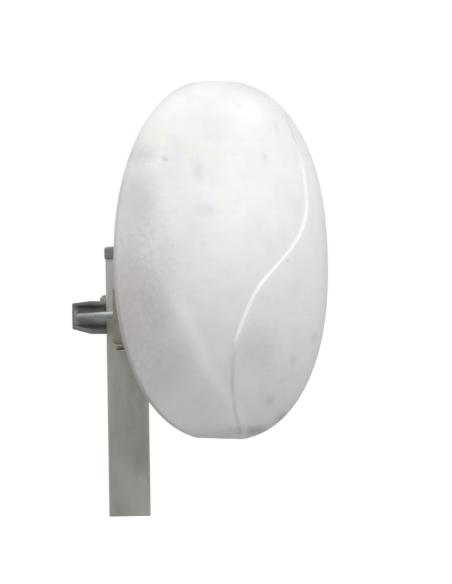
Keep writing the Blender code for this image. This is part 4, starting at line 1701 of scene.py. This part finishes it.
    def raise_relief(self, tree: bpy.types.NodeTree, shader: bpy.types.Node,
                     place: bpy.types.NodeSocket) -> None:
        """Chain the reliefs as bump, from the widest to the finest.

        Args:
            tree: The material's node tree.
            shader: Its Principled BSDF.
            place: Object coordinates, in metres.
        """
        below = None
        for relief in self.reliefs:
            inputs = {"Height": self.cloud(tree, place, relief.size, relief.stretch, 2.0),
                      "Distance": relief.depth * MILLIMETRE, "Strength": 1.0}
            if below is not None:
                inputs["Normal"] = below
            below = add_node(tree, "ShaderNodeBump", inputs).outputs[0]
        if below is not None:
            tree.links.new(below, shader.inputs["Normal"])


# ASA plastic, injection moulded with a fine satin grain. It scatters light evenly under a broad, soft sheen.
# Years outdoors have yellowed it here and there and left sooty smudges, and rain has dried into faint level
# streaks. The wide, faint marks on its left flank are painted shade, as are a broad mark below its middle,
# right of the step, and two dark bands along its bottom, where the face turns under. Its light and tone tints
# paint a highlight along the step's middle, shade at the step's ends and along the right rim, and light and
# shade beside the crease.
# The real grain is about 0.3 mm wide; it is drawn at 1.3 mm, so that it still shows at this distance.
SHELL_ASA = Finish(
    "moulded_asa_white", "e9e7e8", 0.42, roughness_swing=0.05, roughness_patch=30.0,
    patches=(
        Patches("e1e1d9", 0.36, 60.0, (1.2, 1.0, 0.8), 0.46, 0.62),
        Patches("dedbdf", 0.32, 34.0, (1.0, 1.0, 1.3), 0.48, 0.66),
        Patches("d2d0d1", 0.14, 11.0, (1.6, 1.6, 1.0), 0.50, 0.70),
        Patches("d0cecf", 0.07, 1.6, (20.0, 20.0, 1.0), 0.46, 0.62, 1.0)),
    marks=(
        Mark("e4e3d6", 0.45, -101, 135, 36, 32),
        Mark("e4e3d8", 0.40, -84, 118, 36, 24),
        Mark("e4e3d8", 0.40, -60, 112, 60, 26),
        Mark("e2e1d5", 0.45, -20, 153, 30, 24),
        Mark("e3e2da", 0.40, 20, 80, 80, 100),
        Mark("c8c4c5", 0.40, -122, 112, 44, 36),
        Mark("b3afad", 0.50, -108, 106, 8, 8),
        # Painted shade on the left flank, in this mark and the next two.
        Mark("d4cfcf", 0.45, -126, 30, 30, 160),
        Mark("d0c9c9", 0.40, -104, -125, 56, 90),
        Mark("cdc8c8", 0.35, -138, 60, 30, 110),
        Mark("f3f1f1", 0.40, -121, 101, 15, 2.4),
        Mark("cbc6c7", 0.40, -76, 95, 22, 34),
        Mark("cdc9cd", 0.40, -72, 51, 38, 22),
        Mark("d0cccc", 0.40, -5, 166, 24, 16),
        Mark("d2cdcf", 0.40, 47, 144, 16, 30),
        Mark("cac8c4", 0.45, 17, 109, 13, 14),
        Mark("8f8986", 0.50, 39, -2, 4.5, 4.5),
        Mark("c4c2c2", 0.40, 140, 62, 30, 20),
        Mark("c6c4c0", 0.45, 29, -152, 24, 18),
        Mark("cbcbc0", 0.50, 98, -84, 20, 20),
        Mark("cac7c8", 0.40, 57, -108, 20, 18),
        # Painted shade below the middle, right of the step.
        Mark("cac9c5", 0.50, -6, -98, 90, 70),
        # Painted shade on the left flank, in this mark and the next.
        Mark("c8c5c3", 0.45, -122, -46, 40, 210),
        Mark("cdc2c1", 0.55, -146, -70, 46, 230),
        # Painted shade along the bottom, where the face turns under, in this mark and the next.
        Mark("a5a39f", 0.60, 20, -184, 90, 15),
        Mark("a5a39f", 0.60, 70, -171, 50, 18)),
    reliefs=(Relief(46.0, 0.12), Relief(1.3, 0.012)), light_and_tone=("fbfbfb", "cbc9c8"))

# Nylon filled with short glass fibres, injection moulded. The fibres near its skin give it a dull, slightly
# streaky sheen, and dust holds on to it. The streaks are drawn about four times their real size.
ARM_NYLON = Finish(
    "glass_filled_nylon_grey", "b1a99d", 0.52, roughness_swing=0.07, roughness_patch=6.0,
    patches=(
        Patches("938c81", 0.55, 16.0), Patches("b5ada0", 0.45, 7.0, (1.0, 1.6, 0.6)),
        Patches("6b655d", 0.30, 1.6, (1.0, 3.0, 1.0), 0.5, 0.7, 2.0)),
    reliefs=(Relief(2.6, 0.03, (1.0, 2.5, 1.0)), Relief(0.9, 0.012)))

# Soft PVC, dip moulded. It is matt and a little waxy, chalked by the sun in pale patches.
CAP_PVC = Finish(
    "soft_pvc_grey", "9a9994", 0.62, roughness_swing=0.08, roughness_patch=8.0,
    patches=(Patches("aaa9a4", 0.5, 11.0), Patches("868580", 0.4, 5.0, (1.0, 1.0, 2.0))),
    reliefs=(Relief(3.5, 0.04), Relief(1.0, 0.012)))

# Mild steel, pressed, zinc plated and blue passivated, dulled by weather. The zinc's grain makes it mottled.
# A chalky bloom of white rust hides most of the metal, so that its reflections are weak and blurred.
# Its inside is lightened with painted light over the channel's shade, and its end faces are darker.
JAW_ZINC = Finish(
    "zinc_plated_steel", "cbd0cc", 0.46, 0.35, roughness_swing=0.10, roughness_patch=4.0,
    patches=(
        Patches("bac0bc", 0.5, 7.0), Patches("d6dbde", 0.4, 3.0),
        Patches("b3ad9a", 0.20, 12.0, (1.0, 1.0, 1.5)),
        Patches("dfe2e1", 0.20, 1.4, detail=2.0, from_level=0.55, to_level=0.72)),
    reliefs=(Relief(5.0, 0.03), Relief(0.8, 0.008)), light_and_tone=("ffffff", "8f918d"))

# Stainless steel, cold headed and bright turned, with fine tool rings and a thin film of grime.
SCREW_STAINLESS = Finish(
    "stainless_steel_turned", "e4e2e3", 0.34, 1.0, roughness_swing=0.08, roughness_patch=2.0,
    patches=(Patches("a9a6a0", 0.45, 3.0), Patches("dedcd8", 0.4, 1.2)),
    reliefs=(Relief(0.7, 0.006),))

# Galvanised steel tube under a satin polyester powder coat in grey-beige. The coat has a faint orange peel,
# with rain-washed streaks down it and some dirt. A pale mark low on the tube is a painted pool of light,
# below the shadow that the panel casts on it.
TUBE_PAINT = Finish(
    "polyester_painted_steel", "d6d5cb", 0.45, roughness_swing=0.08, roughness_patch=18.0,
    patches=(
        Patches("bbb9ae", 0.40, 22.0, (1.0, 1.0, 3.0)),
        Patches("d3d2cd", 0.30, 9.0, (1.0, 1.0, 5.0)),
        Patches("bcb8a7", 0.25, 30.0, (1.0, 1.0, 1.4), 0.5, 0.66),
        Patches("aaa698", 0.18, 2.2, (1.0, 1.0, 2.0), 0.56, 0.7)),
    # A painted pool of light low on the tube, below the panel's shadow.
    marks=(Mark("f4f5ee", 0.50, 0, -238, 24, 66),),
    reliefs=(Relief(3.0, 0.015), Relief(1.1, 0.008)))

# Brass, turned and nickel plated. Weather has laid a dull, yellowish film over most of it, so that little of
# its shine is left.
SOCKET_NICKEL = Finish(
    "nickel_plated_brass", "d2cdc0", 0.45, 0.4, roughness_swing=0.10, roughness_patch=3.0,
    patches=(Patches("b5ae9c", 0.5, 4.0), Patches("dedacc", 0.4, 1.5)),
    reliefs=(Relief(0.7, 0.006),))

# EPDM rubber, compression moulded. It is black when new, and dust and sun have chalked it to a matt mid grey.
SEAL_RUBBER = Finish(
    "epdm_rubber_black", "4d4b48", 0.75, roughness_swing=0.06, roughness_patch=3.0,
    patches=(Patches("5f5c57", 0.5, 3.0),),
    reliefs=(Relief(0.8, 0.010),))

# Opal acrylic, the top of a light table. It is matt and lit from beneath, so that it looks white all over.
LIGHT_TABLE = Finish("opal_acrylic_floor", "f6f6f6", 0.9, glow=1.0, patches=(Patches("f2f2f2", 0.5, 400.0),))


def heading(azimuth: float, elevation: float) -> Vector:
    """Give the direction at an azimuth, which turns from the panel's front towards +X, and an elevation."""
    turn, tilt = math.radians(azimuth), math.radians(elevation)
    return Vector((math.sin(turn) * math.cos(tilt), -math.cos(turn) * math.cos(tilt), math.sin(tilt)))


@dataclass(frozen=True)
class Lobe:
    """One soft glow of the studio's dome.

    Its power is how bright it makes a white card that faces it, and its focus how narrow it is.
    """

    azimuth: float
    elevation: float
    power: float
    focus: float = 8.0

    def strength(self, tree: bpy.types.NodeTree,
                 direction: bpy.types.NodeSocket) -> bpy.types.NodeSocket:
        """Give how bright the glow makes the dome in a direction.

        Args:
            tree: The world's node tree.
            direction: The direction, as a vector of length 1.

        Returns:
            The brightness.
        """
        middle = heading(self.azimuth, self.elevation)
        along = add_node(tree, "ShaderNodeVectorMath", {0: direction, 1: middle},
                         operation="DOT_PRODUCT").outputs["Value"]
        facing = add_node(tree, "ShaderNodeMath", {0: along, 1: 0.0}, operation="MAXIMUM").outputs[0]
        shaped = add_node(tree, "ShaderNodeMath", {0: facing, 1: self.focus}, operation="POWER").outputs[0]
        peak = self.power * (self.focus + 2) / 2
        return add_node(tree, "ShaderNodeMath", {0: shaped, 1: peak}, operation="MULTIPLY").outputs[0]


@dataclass(frozen=True)
class SoftBox:
    """A round soft lamp beside the antenna, aimed at the panel, with its power in watts."""

    azimuth: float
    elevation: float
    power: float
    distance: float = 0.6
    width: float = 0.2
    target: tuple[float, float, float] = (0.0, -0.12, PANEL_MIDDLE_Z)

    def build(self) -> None:
        """Hang the lamp and aim it."""
        away = heading(self.azimuth, self.elevation)
        bpy.ops.object.light_add(
            type="AREA", location=Vector(self.target) + away * self.distance,
            rotation=away.to_track_quat("Z", "Y").to_euler())
        lamp = bpy.context.active_object
        lamp.name = "soft_box"
        lamp.data.shape = "DISK"
        lamp.data.size = self.width
        lamp.data.energy = self.power
        lamp.visible_camera = False


@dataclass(frozen=True)
class Studio:
    """The pale floor, the soft boxes round the antenna, and a dome that glows behind, beside and below it."""

    floor_half: float = 24.0
    floor_drop: float = 0.0005
    lobes: tuple[Lobe, ...] = (
        Lobe(180, 60, 0.32), Lobe(-90, 60, 0.42), Lobe(90, 0, 0.15), Lobe(0, -70, 0.50),
        Lobe(180, 5, 0.20, 4.0))
    boxes: tuple[SoftBox, ...] = (
        SoftBox(0, 75, 0.24), SoftBox(-50, 45, 0.60), SoftBox(50, 45, 0.62), SoftBox(-25, 15, 0.38),
        SoftBox(20, 15, 0.89), SoftBox(48, 15, 0.40), SoftBox(-45, 9, 0.54, width=0.06),
        SoftBox(-105, 10, 0.15))

    def build(self) -> None:
        """Lay the floor, light the dome and hang the lamps."""
        self.lay_floor()
        self.light_dome()
        for box in self.boxes:
            box.build()
        bpy.context.scene.view_settings.view_transform = "Standard"

    def lay_floor(self) -> None:
        """Lay the pale floor just under the mast's foot."""
        Workpiece.clear_bench()
        bpy.ops.mesh.primitive_plane_add(size=2 * self.floor_half, location=(0, 0, -self.floor_drop))
        floor = bpy.context.active_object
        floor.name = "studio_floor"
        floor.visible_diffuse = False
        floor.visible_glossy = False
        floor.visible_shadow = False
        floor.data.materials.append(LIGHT_TABLE.make())

    def light_dome(self) -> None:
        """Light the world as a soft dome, and show it white."""
        world = bpy.data.worlds.new("soft_studio")
        bpy.context.scene.world = world
        world.use_nodes = True
        tree = world.node_tree
        tree.nodes.clear()
        direction = add_node(tree, "ShaderNodeTexCoord").outputs["Generated"]
        strength = 0.0
        for lobe in self.lobes:
            one = lobe.strength(tree, direction)
            strength = add_node(tree, "ShaderNodeMath", {0: one, 1: strength}, operation="ADD").outputs[0]
        dome = add_node(tree, "ShaderNodeBackground", {"Color": linear("ffffff"), "Strength": strength})
        backdrop = add_node(tree, "ShaderNodeBackground", {"Color": linear("ffffff"), "Strength": 1.0})
        seen = add_node(tree, "ShaderNodeLightPath").outputs["Is Camera Ray"]
        mixed = add_node(tree, "ShaderNodeMixShader", {0: seen, 1: dome.outputs[0], 2: backdrop.outputs[0]})
        add_node(tree, "ShaderNodeOutputWorld", {"Surface": mixed.outputs[0]})


@dataclass(frozen=True)
class Viewpoint:
    """Where the photograph was taken from: at floor level, turned to the panel's left, leaning slightly."""

    form: PanelForm
    yaw: float = math.radians(45)
    lean: float = math.radians(0.92)
    distance: float = 9.0
    height: float = 0.001
    metres_per_pixel: float = 0.001078
    frame_pixels: tuple[int, int] = (452, 584)
    panel_pixel: Point = (217.5, 260.5)
    sensor: float = 36.0
    clip_end: float = 60.0

    def build(self) -> None:
        """Set the camera up and make it the scene's."""
        panel = Vector((0, self.form.rim_y, self.form.middle_z))
        ahead = Vector((math.sin(self.yaw), math.cos(self.yaw), 0))
        right = Vector((math.cos(self.yaw), -math.sin(self.yaw), 0))
        across = self.frame_pixels[0] / 2 - self.panel_pixel[0]
        down = self.frame_pixels[1] / 2 - self.panel_pixel[1]
        level_across = across * math.cos(self.lean) - down * math.sin(self.lean)
        level_down = across * math.sin(self.lean) + down * math.cos(self.lean)
        aim = panel + (right * level_across - Vector((0, 0, level_down))) * self.metres_per_pixel
        where = panel - ahead * self.distance
        where.z = self.height
        forward = (aim - where).normalized()
        side = forward.cross(Vector((0, 0, 1))).normalized()
        up = side.cross(forward)
        leaning_side = side * math.cos(self.lean) - up * math.sin(self.lean)
        leaning_up = up * math.cos(self.lean) + side * math.sin(self.lean)
        camera = bpy.data.cameras.new("photograph")
        camera.sensor_width = self.sensor
        camera.lens = self.sensor * self.distance / (self.frame_pixels[1] * self.metres_per_pixel)
        camera.clip_end = self.clip_end
        holder = bpy.data.objects.new("photograph_camera", camera)
        turn = Matrix((leaning_side, leaning_up, -forward)).transposed().to_4x4()
        holder.matrix_world = Matrix.Translation(where) @ turn
        bpy.context.scene.collection.objects.link(holder)
        bpy.context.scene.camera = holder


def main() -> None:
    """Build, dress and light the antenna, and log each piece's faces."""
    logging.basicConfig(level=logging.INFO, format="%(message)s")
    form = PanelForm()
    mast = MastAxis()
    white, grey, soft, zinc, steel, paint, nickel, rubber = (finish.make() for finish in (
        SHELL_ASA, ARM_NYLON, CAP_PVC, JAW_ZINC, SCREW_STAINLESS, TUBE_PAINT, SOCKET_NICKEL, SEAL_RUBBER))
    Viewpoint(form).build()
    Studio().build()
    Radome(form, white).build()
    BackCover(form, white, steel).build()
    MountArm(mast, grey, steel).build()
    Clamp(mast, zinc, steel).build()
    Mast(mast, paint, soft).build()
    AerialSocket(nickel, rubber).build()


if __name__ == "__main__":
    main()
